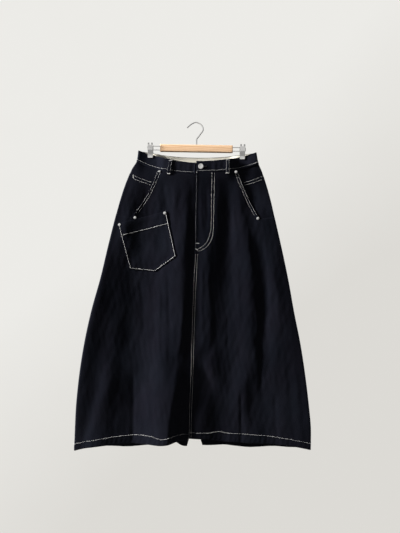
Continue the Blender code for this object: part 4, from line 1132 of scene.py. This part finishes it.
def seat_on_cloth(tree, trim):
    """Location and turn of a turned piece on the front, square to the cloth and just clear of it."""
    turns = np.linspace(0, math.tau, SEAT_FEELERS, endpoint=False)
    rings = [trim.form.reach * share * np.array([math.cos(turn), math.sin(turn)])
             for share in SEAT_RINGS for turn in turns]
    hits = [touch(tree, FRONT, trim.x + x, trim.z + z) for x, z in [(0.0, 0.0), *rings]]
    points = np.array([hit[0] for hit in hits if hit])
    centre = points.mean(axis=0)
    _, _, axes = np.linalg.svd(points - centre)
    square = axes[2] if axes[2][1] < 0 else -axes[2]
    normal = unit(square - np.array([0, SEAT_FACING, 0]))
    height = ((points - centre) @ normal).max()
    spot = centre + normal * (height * SEAT_SHARE + SEAT_CLEAR)
    return Vector((trim.x, spot[1], trim.z)) * MM, Vector(normal).to_track_quat("Z", "X")


def build_trims(tree, material):
    for trim in TRIMS:
        name = "metal_" + trim.name
        add_piece(name, turned_mesh(name, trim.form), material, trim.name,
                  seat_on_cloth(tree, trim))


def add_wire(node, diameter, points, material, shape=None):
    """Round wire with closed ends through points; shape, where given, sets its spline's handles."""
    name = "metal_" + node
    curve = bpy.data.curves.new(name, "CURVE")
    curve.dimensions = "3D"
    curve.bevel_depth = diameter / 2 * MM
    curve.bevel_resolution = 6
    curve.resolution_u = 24
    curve.use_fill_caps = True
    spline = curve.splines.new("BEZIER" if shape else "POLY")
    knots = spline.bezier_points if shape else spline.points
    knots.add(len(points) - 1)
    for knot, point in zip(knots, points):
        place = [value * MM for value in point]
        knot.co = place if shape else (*place, 1.0)
    if shape:
        shape(knots)
    guide = bpy.data.objects.new(name + "_guide", curve)
    bpy.context.scene.collection.objects.link(guide)
    graph = bpy.context.evaluated_depsgraph_get()
    mesh = bpy.data.meshes.new_from_object(guide.evaluated_get(graph))
    bpy.data.objects.remove(guide)
    bpy.data.curves.remove(curve)
    bm = bmesh.new()
    bm.from_mesh(mesh)
    bmesh.ops.remove_doubles(bm, verts=bm.verts, dist=1e-6)
    bm.to_mesh(mesh)
    bm.free()
    mesh.name = name
    mesh.materials.clear()
    mesh.shade_smooth()
    mesh.set_sharp_from_angle(angle=math.radians(60))
    add_piece(name, mesh, material, node)


def shape_hook(knots):
    for knot in knots:
        knot.handle_left_type = "AUTO"
        knot.handle_right_type = "AUTO"
    knots[0].handle_right_type = "VECTOR"
    knots[1].handle_left_type = "VECTOR"
    knots[1].handle_right_type = "FREE"
    knots[1].handle_right = knots[1].co + Vector((0, 0, HOOK_STEM_HANDLE)) * MM


def build_rail(side, material):
    upper, lower = RAIL_HEIGHTS
    points = [(BAR_LENGTH / 2 - SOCKET_DEPTH, upper)]
    for angle in np.radians(np.linspace(90, 0, 13)):
        points.append((RAIL_END_X - RAIL_CORNER * (1 - math.cos(angle)),
                       upper - RAIL_CORNER * (1 - math.sin(angle))))
    points += [(x, upper + lower - z) for x, z in reversed(points)]
    add_wire("hanger_rail_" + SIDES[side], RAIL_WIRE, [(side * x, 0, z) for x, z in points], material)


def bar_reach(wave, power, half, shrink):
    """One coordinate of the bar's squared-off section, drawn in near the ends."""
    reach = abs(wave) ** power * half
    return math.copysign(reach - min(reach, shrink), wave)


def build_bar(material):
    """Wooden bar: a rounded section drawn along its length, with softened ends."""
    half, points, faces = BAR_LENGTH / 2, [], []
    stations = [(run - half, size) for run, size in BAR_ENDS]
    middle = np.linspace(BAR_END_RUN - half, half - BAR_END_RUN, BAR_STATIONS)
    stations = stations + [(x, 1.0) for x in middle] + [(-x, size) for x, size in reversed(stations)]
    for x, size in stations:
        shrink = (1 - size) * BAR_DEPTH / 2
        for k in range(BAR_SEGMENTS):
            angle = math.tau * k / BAR_SEGMENTS
            y = bar_reach(math.cos(angle), BAR_DEPTH_POWER, BAR_DEPTH / 2, shrink)
            z = bar_reach(math.sin(angle), BAR_HEIGHT_POWER, BAR_HEIGHT / 2, shrink)
            points.append((x, y, BAR_CENTRE_Z + z))
    for start in range(0, len(points) - BAR_SEGMENTS, BAR_SEGMENTS):
        for k in range(BAR_SEGMENTS):
            a, b = start + k, start + (k + 1) % BAR_SEGMENTS
            faces.append((a, a + BAR_SEGMENTS, b + BAR_SEGMENTS, b))
    faces.append(tuple(range(BAR_SEGMENTS)))
    faces.append(tuple(reversed(range(len(points) - BAR_SEGMENTS, len(points)))))
    mesh = mesh_of("wood_hanger_bar", points, faces, sharp=40)
    add_piece("wood_hanger_bar", mesh, material, "hanger_bar")


def plate_shell(plate, centre_x):
    """Points and faces of a bent sheet plate with rounded corners, and a notch between prongs."""
    line = np.array(rounded(JAW_PROFILE[plate.face], 3))
    lengths = travel(line)
    stops = np.linspace(0, lengths[-1], PLATE_ROWS)
    half = np.full(len(stops), CLIP_WIDTH / 2)
    for from_end, (run, inset) in ((lengths[-1] - stops, CLIP_TIP_CORNER), (stops, CLIP_TOP_CORNER)):
        half -= inset * (1 - np.sqrt(1 - np.clip((run - from_end) / run, 0, 1) ** 2))
    x = centre_x + half[:, None] * np.linspace(-1, 1, PLATE_COLUMNS)
    y, z = (np.interp(stops, lengths, line[:, k])[:, None] for k in (0, 1))
    points = np.stack(np.broadcast_arrays(x, plate.face * y, z), axis=-1)
    keep = None
    if plate.notch:
        notch_half, notch_depth = plate.notch
        x_middle = (x[:-1, :-1] + x[1:, 1:]) / 2 - centre_x
        curve = notch_depth * np.sqrt(np.clip(1 - (x_middle / notch_half) ** 4, 0, 1))
        row_middle = (stops[:-1] + stops[1:])[:, None] / 2
        keep = ~((np.abs(x_middle) < notch_half) & (row_middle < curve))
    outer = points + outward_normals(points, plate.face) * CLIP_PLATE
    return closed_shell(outer, outward_normals(outer, plate.face), CLIP_PLATE, keep, PLATE_LIP)[:2]


def ear_plate(x, outline):
    """Points and faces of a flat ear across X, a rounded outline of (y, z) corners."""
    line = rounded(outline + outline[:1], 3)[:-1]
    count = len(line)
    points = [(x + away, y, z) for away in (-CLIP_PLATE / 2, CLIP_PLATE / 2) for y, z in line]
    faces = [tuple(range(count)), tuple(reversed(range(count, 2 * count)))]
    faces += [(k, k + count, (k + 1) % count + count, (k + 1) % count) for k in range(count)]
    return points, faces


def build_clip(side, material):
    """Back plate that slides on both rails, front plate with two prongs, and the spring between."""
    for plate in CLIP_PLATES:
        parts = [plate_shell(plate, side * CLIP_X)]
        parts += [ear_plate(side * CLIP_X + ear * plate.ear_x, plate.ear) for ear in (RIGHT, LEFT)]
        points, faces = [], []
        for part_points, part_faces in parts:
            faces.extend(tuple(len(points) + v for v in face) for face in part_faces)
            points.extend(tuple(point) for point in part_points)
        node = plate.name + SIDES[side]
        mesh = mesh_of("metal_" + node, points, faces, sharp=45)
        add_piece("metal_" + node, mesh, material, node)

    steps = SPRING_TURNS * TURN_STEPS
    turns = [(k / steps - 0.5, math.tau * k / TURN_STEPS) for k in range(steps + 1)]
    coil = [(SPRING_LENGTH * share, SPRING_RADIUS * math.sin(turn), SPRING_RADIUS * math.cos(turn))
            for share, turn in turns]
    first_arm, last_arm = SPRING_ARMS
    points = [(side * CLIP_X + x, y, RAIL_HEIGHTS[0] + z) for x, y, z in [first_arm, *coil, last_arm]]
    add_wire("clip_spring_" + SIDES[side], SPRING_WIRE, points, material)


# ---- materials ---------------------------------------------------------------------------
class Nodes:
    """A new material, and short hand for building its nodes."""

    def __init__(self, name, colour, roughness, metallic=0.0, specular=0.5):
        self.material = bpy.data.materials.new(name)
        self.material.use_nodes = True
        self.tree = self.material.node_tree
        self.shader = self.tree.nodes["Principled BSDF"]
        self.shader.inputs["Base Color"].default_value = (*colour, 1.0)
        self.shader.inputs["Roughness"].default_value = roughness
        self.shader.inputs["Metallic"].default_value = metallic
        self.shader.inputs["Specular IOR Level"].default_value = specular
        self.place = self.tree.nodes.new("ShaderNodeTexCoord").outputs["Object"]

    def link(self, source, target):
        if isinstance(source, (int, float)):
            target.default_value = source
        elif isinstance(source, tuple):
            target.default_value = (*source, 1.0)
        else:
            self.tree.links.new(source, target)

    def set(self, socket, source):
        self.link(source, self.shader.inputs[socket])

    def math(self, operation, a, b=0.0, clamp=False):
        node = self.tree.nodes.new("ShaderNodeMath")
        node.operation = operation
        node.use_clamp = clamp
        self.link(a, node.inputs[0])
        self.link(b, node.inputs[1])
        return node.outputs[0]

    def plus(self, a, b, clamp=False):
        return self.math("ADD", a, b, clamp)

    def times(self, a, b, clamp=False):
        return self.math("MULTIPLY", a, b, clamp)

    def span(self, value, low, high):
        """A 0 to 1 value stretched over low to high."""
        return self.plus(self.times(value, high - low), low)

    def along(self, direction):
        """Distance along a direction, in millimetres."""
        node = self.tree.nodes.new("ShaderNodeVectorMath")
        node.operation = "DOT_PRODUCT"
        self.tree.links.new(self.place, node.inputs[0])
        node.inputs[1].default_value = tuple(c / MM for c in direction)
        return node.outputs["Value"]

    def wave(self, direction, pitch, wobble, amount):
        run = self.plus(self.along(direction), self.times(wobble, amount))
        return self.math("SINE", self.times(run, math.tau / pitch))

    def noise(self, size_mm, detail, roughness, stretch=(1, 1, 1)):
        scale = self.tree.nodes.new("ShaderNodeMapping")
        scale.inputs["Scale"].default_value = tuple(s / (size_mm * MM) for s in stretch)
        self.tree.links.new(self.place, scale.inputs["Vector"])
        node = self.tree.nodes.new("ShaderNodeTexNoise")
        node.inputs["Scale"].default_value = 1.0
        node.inputs["Detail"].default_value = detail
        node.inputs["Roughness"].default_value = roughness
        self.tree.links.new(scale.outputs[0], node.inputs["Vector"])
        return node.outputs[0]

    def ramp(self, value, stops):
        node = self.tree.nodes.new("ShaderNodeValToRGB")
        elements = node.color_ramp.elements
        while len(elements) < len(stops):
            elements.new(0.5)
        for element, (position, colour) in zip(elements, stops):
            element.position = position
            element.color = (*colour, 1.0)
        self.link(value, node.inputs[0])
        return node.outputs[0]

    def mix(self, factor, a, b):
        node = self.tree.nodes.new("ShaderNodeMix")
        node.data_type = "RGBA"
        for value, socket in ((factor, "Factor"), (a, "A"), (b, "B")):
            self.link(value, node.inputs[socket])
        return node.outputs["Result"]

    def bump(self, height, distance_mm, strength):
        node = self.tree.nodes.new("ShaderNodeBump")
        node.inputs["Strength"].default_value = strength
        node.inputs["Distance"].default_value = distance_mm * MM
        self.link(height, node.inputs["Height"])
        self.set("Normal", node.outputs[0])


def denim_material(name, lift=1.0):
    """Black denim, blue and violet by patches, paler where it is worn; lift brightens it all."""
    nodes = Nodes(name, (0.0060, 0.0062, 0.0090), 0.88, specular=0.05)

    def lifted(*colour):
        return tuple(c * lift for c in colour)

    slub = nodes.noise(26, 3, 0.6, (1.0, 1.0, 0.14))
    thread = nodes.noise(1.1, 2, 0.6, (1.0, 1.0, 0.35))
    twill = nodes.span(nodes.wave((0.62, 0.1, 0.78), 1.7, thread, 0.5), 0.5, 1.0)
    light = nodes.times(nodes.times(twill, nodes.span(thread, 0.35, 1.0)), nodes.span(slub, 0.5, 1.25))
    tint = nodes.times(light, 0.75, clamp=True)
    blue = nodes.mix(tint, lifted(0.0023, 0.0029, 0.0047), lifted(0.0080, 0.0097, 0.0150))
    violet = nodes.mix(tint, lifted(0.0029, 0.0028, 0.0047), lifted(0.0096, 0.0094, 0.0146))
    patches = nodes.noise(85, 3, 0.6, (1.0, 1.0, 0.5))
    colour = nodes.mix(nodes.span(patches, -0.6, 1.6), blue, violet)
    cloudy, fleck = nodes.noise(120, 4, 0.6), nodes.noise(2.4, 3, 0.7)
    wear = nodes.times(nodes.plus(nodes.times(cloudy, fleck), -0.16, clamp=True), 0.9, clamp=True)
    nodes.set("Base Color", nodes.mix(wear, colour, lifted(0.0126, 0.0133, 0.0190)))
    nodes.set("Roughness", nodes.span(thread, 0.80, 0.95))
    nodes.set("Sheen Weight", 0.01)
    nodes.set("Sheen Roughness", 0.45)
    height = nodes.plus(nodes.plus(nodes.times(twill, 0.7), nodes.times(thread, 0.5)), nodes.times(slub, 1.2))
    nodes.bump(height, 0.22, 0.6)
    return nodes.material


def twill_material(name, dark, light):
    nodes = Nodes(name, light, 0.85, specular=0.2)
    thread = nodes.noise(0.9, 2, 0.6)
    twill = nodes.span(nodes.wave((0.7, 0.1, 0.7), 1.1, thread, 0.4), 0.5, 1.0)
    colour = nodes.mix(nodes.times(twill, nodes.span(thread, 0.3, 1.0)), dark, light)
    nodes.set("Base Color", nodes.mix(nodes.times(nodes.noise(40, 3, 0.6), 0.35), colour, dark))
    nodes.set("Roughness", nodes.span(thread, 0.78, 0.95))
    nodes.bump(nodes.plus(twill, thread), 0.12, 0.6)
    return nodes.material


def thread_material(name, dark, light):
    nodes = Nodes(name, light, 0.62, specular=0.3)
    fibre = nodes.noise(0.45, 2, 0.7)
    twist = nodes.wave((0.75, 0.1, 0.62), 0.62, fibre, 0.2)
    drift = nodes.span(nodes.noise(23, 2, 0.5), 0.6, 1.2)
    tone = nodes.times(nodes.span(twist, 0.55, 0.95), drift, clamp=True)
    nodes.set("Base Color", nodes.mix(tone, dark, light))
    nodes.set("Roughness", nodes.span(fibre, 0.5, 0.75))
    nodes.bump(twist, 0.05, 0.4)
    return nodes.material


def steel_material(name, colour, low, high):
    """Plated steel, a little cloudy and scratched; low and high are its roughness."""
    nodes = Nodes(name, colour, high, metallic=1.0)
    scratch = nodes.noise(1.4, 3, 0.7, (0.15, 1.0, 1.0))
    tone = nodes.times(nodes.noise(6, 4, 0.6), nodes.span(scratch, 0.6, 1.0))
    nodes.set("Base Color", nodes.ramp(tone, [(0.15, tuple(c * 0.80 for c in colour)), (0.6, colour)]))
    nodes.set("Roughness", nodes.span(scratch, low, high))
    nodes.bump(scratch, 0.02, 0.5)
    return nodes.material


def wood_material():
    nodes = Nodes("pale_beech", (0.66, 0.42, 0.23), 0.42, specular=0.4)
    grain = nodes.noise(2.6, 5, 0.62, (0.035, 1.0, 1.0))
    figure = nodes.noise(15, 3, 0.5, (0.05, 1.0, 0.8))
    rays = nodes.noise(0.8, 2, 0.6, (0.12, 1.0, 1.0))
    rings = nodes.wave((0.03, 0.55, 0.83), 5.5, figure, 9.0)
    tone = nodes.plus(nodes.times(grain, 0.55), nodes.times(nodes.span(rings, 0.5, 1.0), 0.30))
    tone = nodes.plus(tone, nodes.times(rays, 0.18))
    browns = [(0.30, (0.56, 0.34, 0.19)), (0.52, (0.70, 0.46, 0.28)), (0.75, (0.78, 0.55, 0.36))]
    nodes.set("Base Color", nodes.ramp(tone, browns))
    nodes.set("Roughness", nodes.span(grain, 0.34, 0.55))
    nodes.bump(nodes.plus(grain, rays), 0.08, 0.5)
    return nodes.material


# ---- seams sewn, loops and bartacks ----------------------------------------------------
def inset_polygon(corners, inset):
    """A convex outline moved inwards."""
    corners = [np.array(c, float) for c in corners]
    centre = sum(corners) / len(corners)
    lines = []
    for a, b in zip(corners, corners[1:] + corners[:1]):
        along = unit(b - a)
        inward = np.array([-along[1], along[0]])
        if np.dot(centre - a, inward) < 0:
            inward = -inward
        lines.append((a + inward * inset, along))
    moved = []
    for (a, u), (b, v) in zip(lines[-1:] + lines[:-1], lines):
        moved.append(a + u * np.cross(b - a, v) / np.cross(u, v))
    return moved


def offset_route(route, offset):
    """A line moved sideways, to the left as seen going down on the front."""
    route = curve_through(route)
    run = unit(np.gradient(route, axis=0))
    return route + np.stack([-run[:, 1], run[:, 0]], axis=1) * offset


def patch_hem_route():
    """Stitching that holds the patch pocket's top hem, from its inner to its outer edge."""
    top_in, top_out, low_out, _, low_in = (np.array(corner, float) for corner in PATCH_OUTLINE)
    along = unit(top_out - top_in)
    down = np.array([-along[1], along[0]])
    route = []
    for start, end, inset in ((top_in, low_in, PATCH_HEM_INSET), (top_out, low_out, -PATCH_HEM_INSET)):
        share = PATCH_HEM / np.dot(end - start, down)
        route.append(between(start, end, share) + along * inset)
    return route


def vent_line(side):
    """Stitching beside the open edge of the vent."""
    heights = np.linspace(VENT_STITCH_TOP_Z, VENT_STITCH_END_Z, 24)
    return [(side * (float(centre_edge(BACK, side, z)) + VENT_STITCH_INSET), z) for z in heights]


def hem_line(face, side):
    """The (x, z) route of the hem's stitching, ending just before the side seam."""
    middle = cloth_grid(face, side, [HEM_ROW], panel_columns())[0, :, 0]
    rows = HEM_ROW + HEM_STITCH_DROP + hem_dip(face, middle)
    route = [cloth_grid(face, side, [row], x=[x])[0, 0] for row, x in zip(rows, middle)]
    return np.array(route)[:-4, [0, 2]]


def sew_front(tree, material, dull):
    fly = [(FRONT, curve_through(route), "fly") for route in (FLY_STITCH, FLY_STITCH_OUTER)]
    sew(tree, "thread_fly", 3, material, fly, FLY_TACKS)
    sew(tree, "thread_lap_edge", 2, dull, [(FRONT, LAP_STITCH, "lap")])
    centre = [(FRONT, offset_route(CENTRE_STITCH, offset), "centre") for offset in CENTRE_ROWS]
    sew(tree, "thread_centre_front", 4, material, centre)
    for side in (RIGHT, LEFT):
        rows = [(FRONT, pocket_line(side, inset), "pocket") for inset in POCKET_STITCH_INSETS]
        rows += [(FRONT, curve_through(route), "coin") for route in COIN_STITCH[side]]
        sew(tree, "thread_pockets_" + SIDES[side], 6 + side, material, rows, COIN_TACKS[side])
    outline = inset_polygon(PATCH_OUTLINE, PATCH_STITCH_INSET)
    rows = [(FRONT, [a, b], "patch") for a, b in zip(outline[1:], outline[2:] + outline[:1])]
    sew(tree, "thread_patch_pocket", 8, material, rows + [(FRONT, patch_hem_route(), "patch_hem")])
    sew(tree, "thread_buttonhole", 9, dull, [], BUTTONHOLE, HOLE_EDGE)


def sew_back_and_hem(tree, material):
    rows = [(BACK, curve_through(route), "back") for route in (BACK_STITCH, BACK_STITCH_OUTER)]
    rows += [(BACK, vent_line(side), "back") for side in (RIGHT, LEFT)]
    sew(tree, "thread_back", 12, material, rows, BACK_TACKS, face=BACK)
    rows = [(face, hem_line(face, side), "hem") for face in (FRONT, BACK) for side in (RIGHT, LEFT)]
    sew(tree, "thread_hem", 14, material, rows)


def sew_band(outer, normals, material):
    """One row round the band, just above the seam."""
    band = Thread(15)
    points, normals = (values[BAND_STITCH_ROW, BAND_STITCH_COLUMNS] for values in (outer, normals))
    band.run(points, even(normals), STITCHES["band"])
    band.finish("thread_waistband", material)


def loop_surface(tree, loop):
    """Outer face of a belt loop: a strip that arches over the cloth between its two ends."""
    side = LEFT if loop.top_x > 0 else RIGHT
    share, across = np.linspace(0, 1, LOOP_ROWS), np.linspace(-1, 1, LOOP_COLUMNS)
    top, seam = (float(cloth_grid(loop.face, side, [row], x=[x])[0, 0, 2])
                 for row, x in ((-1.0, loop.top_x), (0.0, loop.bottom_x)))
    x = between(loop.top_x, loop.bottom_x, share)
    z = between(top - LOOP_INSET, seam - LOOP_BELOW_SEAM, share)
    hits = [[touch(tree, loop.face, at_x + feeler, at_z) for feeler in LOOP_FEELERS]
            for at_x, at_z in zip(x, z)]
    bare = np.array([max(hit[0][1] * loop.face for hit in row if hit) for row in hits])
    reach = range(-LOOP_BRIDGE, LOOP_BRIDGE + 1)
    bare = np.maximum.reduce([np.roll(bare, k)[LOOP_BRIDGE:-LOOP_BRIDGE] for k in reach])
    bare = averaged(np.pad(bare, LOOP_BRIDGE, mode="edge"), LOOP_EASE)
    arch = LOOP_ARCH * np.sin(math.pi * np.clip(share * LOOP_ARCH_RUN, 0, 1)) ** LOOP_ARCH_POWER
    out = bare + GAP + LOOP_THICKNESS + arch - LOOP_DENT * bell(share - LOOP_DENT_PLACE, LOOP_DENT_WIDTH)
    edge = LOOP_ROUND * np.abs(across) ** LOOP_ROUND_POWER
    out = out[:, None] + LOOP_ROLL * np.cos(across * math.tau) - edge
    x = x + LOOP_SWAY * np.sin(share * LOOP_SWAY_TURN + loop.top_x)
    x = x[:, None] + across * LOOP_WIDTH / 2
    return np.stack(np.broadcast_arrays(x, loop.face * out, z[:, None]), axis=-1)


def build_loops(tree, material, thread_light):
    """Folded strips over the band, stitched along both edges, with a bartack at each end."""
    thread = Thread(17)
    for loop in BELT_LOOPS:
        outer = loop_surface(tree, loop)
        normals = add_cloth("belt_loop_" + loop.name, loop.face, outer, LOOP_THICKNESS, material,
                            lip=LOOP_LIP)
        raised = outer + normals * LOOP_STITCH_LIFT
        for column in LOOP_STITCH_COLUMNS:
            thread.run(raised[1:-2, column], normals[1:-2, column], STITCHES["loop"])
        for row, width in LOOP_TACKS:
            thread.satin(raised[row, LOOP_TACK_COLUMNS], normals[row, LOOP_TACK_COLUMNS], width)
    thread.finish("thread_belt_loops", thread_light)


# ---- the whole ---------------------------------------------------------------------------
denim = denim_material("black_denim_twill")
cross_denim = denim_material("black_denim_crossways", 1.35)      # the band is cut across the cloth
facing = twill_material("ecru_twill_cloth", (0.64, 0.61, 0.52), (0.86, 0.84, 0.76))
thread_light = thread_material("ecru_thread", (0.28, 0.28, 0.28), (0.54, 0.535, 0.52))
thread_dull = thread_material("grey_thread", (0.10, 0.10, 0.11), (0.20, 0.20, 0.21))
steel = steel_material("bright_plated_steel", (0.70, 0.69, 0.67), 0.13, 0.26)
trim_steel = steel_material("satin_plated_trim", (0.78, 0.77, 0.75), 0.26, 0.40)

for side in (RIGHT, LEFT):
    build_front_panel(side, denim)
    build_back_panel(side, denim)
    build_hip(side, denim)
build_fly_shield(denim)
band_outer, band_normals = build_waistband(cross_denim)
build_facing(facing)
build_patch_pocket(denim)
tree = cloth_tree()
build_loops(tree, cross_denim, thread_light)
build_trims(tree, trim_steel)
sew_front(tree, thread_light, thread_dull)
sew_back_and_hem(tree, thread_light)
sew_band(band_outer, band_normals, thread_light)
add_wire("hanger_hook", HOOK_WIRE, HOOK_ROUTE, steel, shape_hook)
build_bar(wood_material())
for side in (RIGHT, LEFT):
    build_rail(side, steel)
    build_clip(side, steel)


# ---- studio ------------------------------------------------------------------------------
DOME_RADIUS, FLOOR_Z, FLOOR_RADIUS = 6.0, -1.92, 0.86
# painted shade: the backdrop and the floor darken along SHADE_DIRECTION, away from the key light
SHADE_DIRECTION, SHADE_RATE, SHADE_START, MOTTLE = (0.5, 0, -0.6), 0.00042, 0.32, 0.12
ROOM_DIRECTION, ROOM_RATE, ROOM_UNEVEN = (-0.75, -0.25, 0.6), 0.00008, 0.5
ROOM_TONES = [(0.05, 0.03), (0.30, 0.10), (0.42, 0.34), (0.50, 0.16), (0.60, 0.75), (0.72, 0.40),
              (0.82, 1.10), (0.95, 0.5)]
Light = namedtuple("Light", "name place target size watts colour")
LIGHTS = [
    Light("key_light", (-5.2, -0.86, 1.2), (0, 0, -0.5), 0.8, 2000, (1.0, 0.985, 0.96)),
    Light("fill_light", (0.6, -2.9, 0.5), (0, 0, -0.5), 1.6, 11, (1, 1, 1)),
    Light("back_light", (4.2, 1.5, 0.9), (0, 0.03, -0.5), 1.1, 620, (1, 1, 1)),
]


def stage_material(name, high, low, glows):
    """Pale paint with a painted shade that darkens softly towards one side; a backdrop glows by itself."""
    nodes = Nodes(name, (0, 0, 0) if glows else high, 0.9, specular=0.1)
    across = nodes.plus(nodes.times(nodes.along(SHADE_DIRECTION), SHADE_RATE), SHADE_START, clamp=True)
    mottle = nodes.times(nodes.plus(nodes.noise(700, 3, 0.5), -0.5), MOTTLE)
    colour = nodes.mix(nodes.plus(across, mottle, clamp=True), high, low)
    nodes.set("Emission Color" if glows else "Base Color", colour)
    if glows:
        nodes.set("Emission Strength", 1.0)
    return nodes.material


def room_material():
    """A dim room with light walls to the left and overhead, for the metal to mirror."""
    nodes = Nodes("studio_room", (0, 0, 0), 1.0, specular=0.0)
    around = nodes.plus(nodes.times(nodes.along(ROOM_DIRECTION), ROOM_RATE), 0.5)
    uneven = nodes.times(nodes.plus(nodes.noise(2600, 2, 0.5), -0.5), ROOM_UNEVEN)
    greys = [(place, (value, value, value)) for place, value in ROOM_TONES]
    nodes.set("Emission Color", nodes.ramp(nodes.plus(around, uneven, clamp=True), greys))
    nodes.set("Emission Strength", 1.4)
    return nodes.material


def srgb(*values):
    """Linear colour from 0 to 255 values."""
    return tuple(((v / 255 + 0.055) / 1.055) ** 2.4 for v in values)


def stage_object(name, bm, material):
    """An object of the set from a filled bmesh."""
    mesh = bpy.data.meshes.new(name)
    bm.to_mesh(mesh)
    bm.free()
    mesh.materials.append(material)
    item = bpy.data.objects.new(name, mesh)
    bpy.context.scene.collection.objects.link(item)
    return item


def dome(name, material):
    """Sphere round the set, seen from inside."""
    bm = bmesh.new()
    bmesh.ops.create_uvsphere(bm, u_segments=48, v_segments=24, radius=DOME_RADIUS)
    bmesh.ops.reverse_faces(bm, faces=bm.faces)
    item = stage_object(name, bm, material)
    item.data.shade_smooth()
    return item


def add_light(light):
    """A round lamp that the metal doesn't mirror, turned to its target."""
    lamp = bpy.data.lights.new(light.name, "AREA")
    lamp.shape = "DISK"
    lamp.size = light.size
    lamp.energy = light.watts
    lamp.color = light.colour
    item = bpy.data.objects.new(light.name, lamp)
    item.location = light.place
    to_target = Vector(light.target) - Vector(light.place)
    item.rotation_euler = to_target.to_track_quat("-Z", "Y").to_euler()
    item.visible_glossy = False
    bpy.context.scene.collection.objects.link(item)


# the wall's second colour is the darker tone of its painted shade
wall = stage_material("studio_wall", srgb(236, 235, 231), srgb(220, 218, 213), True)
backdrop = dome("studio_backdrop", wall)
backdrop.visible_diffuse = False
backdrop.visible_glossy = False
backdrop.visible_shadow = False

room = dome("studio_reflections", room_material())
room.visible_camera = False
room.visible_diffuse = False
room.visible_shadow = False

disc = bmesh.new()
bmesh.ops.create_circle(disc, cap_ends=True, segments=96, radius=FLOOR_RADIUS)
# the floor's second colour is the darker tone of its painted shade
floor_paint = stage_material("studio_floor_paint", srgb(139, 138, 135), srgb(131, 129, 126), False)
floor = stage_object("studio_floor", disc, floor_paint)
floor.location = (0, 0, FLOOR_Z)

for light in LIGHTS:
    add_light(light)

world = bpy.data.worlds.new("studio_world")
world.use_nodes = True
world.node_tree.nodes["Background"].inputs["Color"].default_value = (0.93, 0.95, 1.0, 1.0)
world.node_tree.nodes["Background"].inputs["Strength"].default_value = 0.0
bpy.context.scene.world = world
bpy.context.scene.view_settings.view_transform = "Standard"

lens = bpy.data.cameras.new("camera")
lens.lens = 27
camera = bpy.data.objects.new("camera", lens)
camera.location = (0.0176, -1.28, -0.459)
camera.rotation_euler = (math.radians(90), math.radians(-0.95), 0)
bpy.context.scene.collection.objects.link(camera)
bpy.context.scene.camera = camera

bpy.context.view_layer.update()
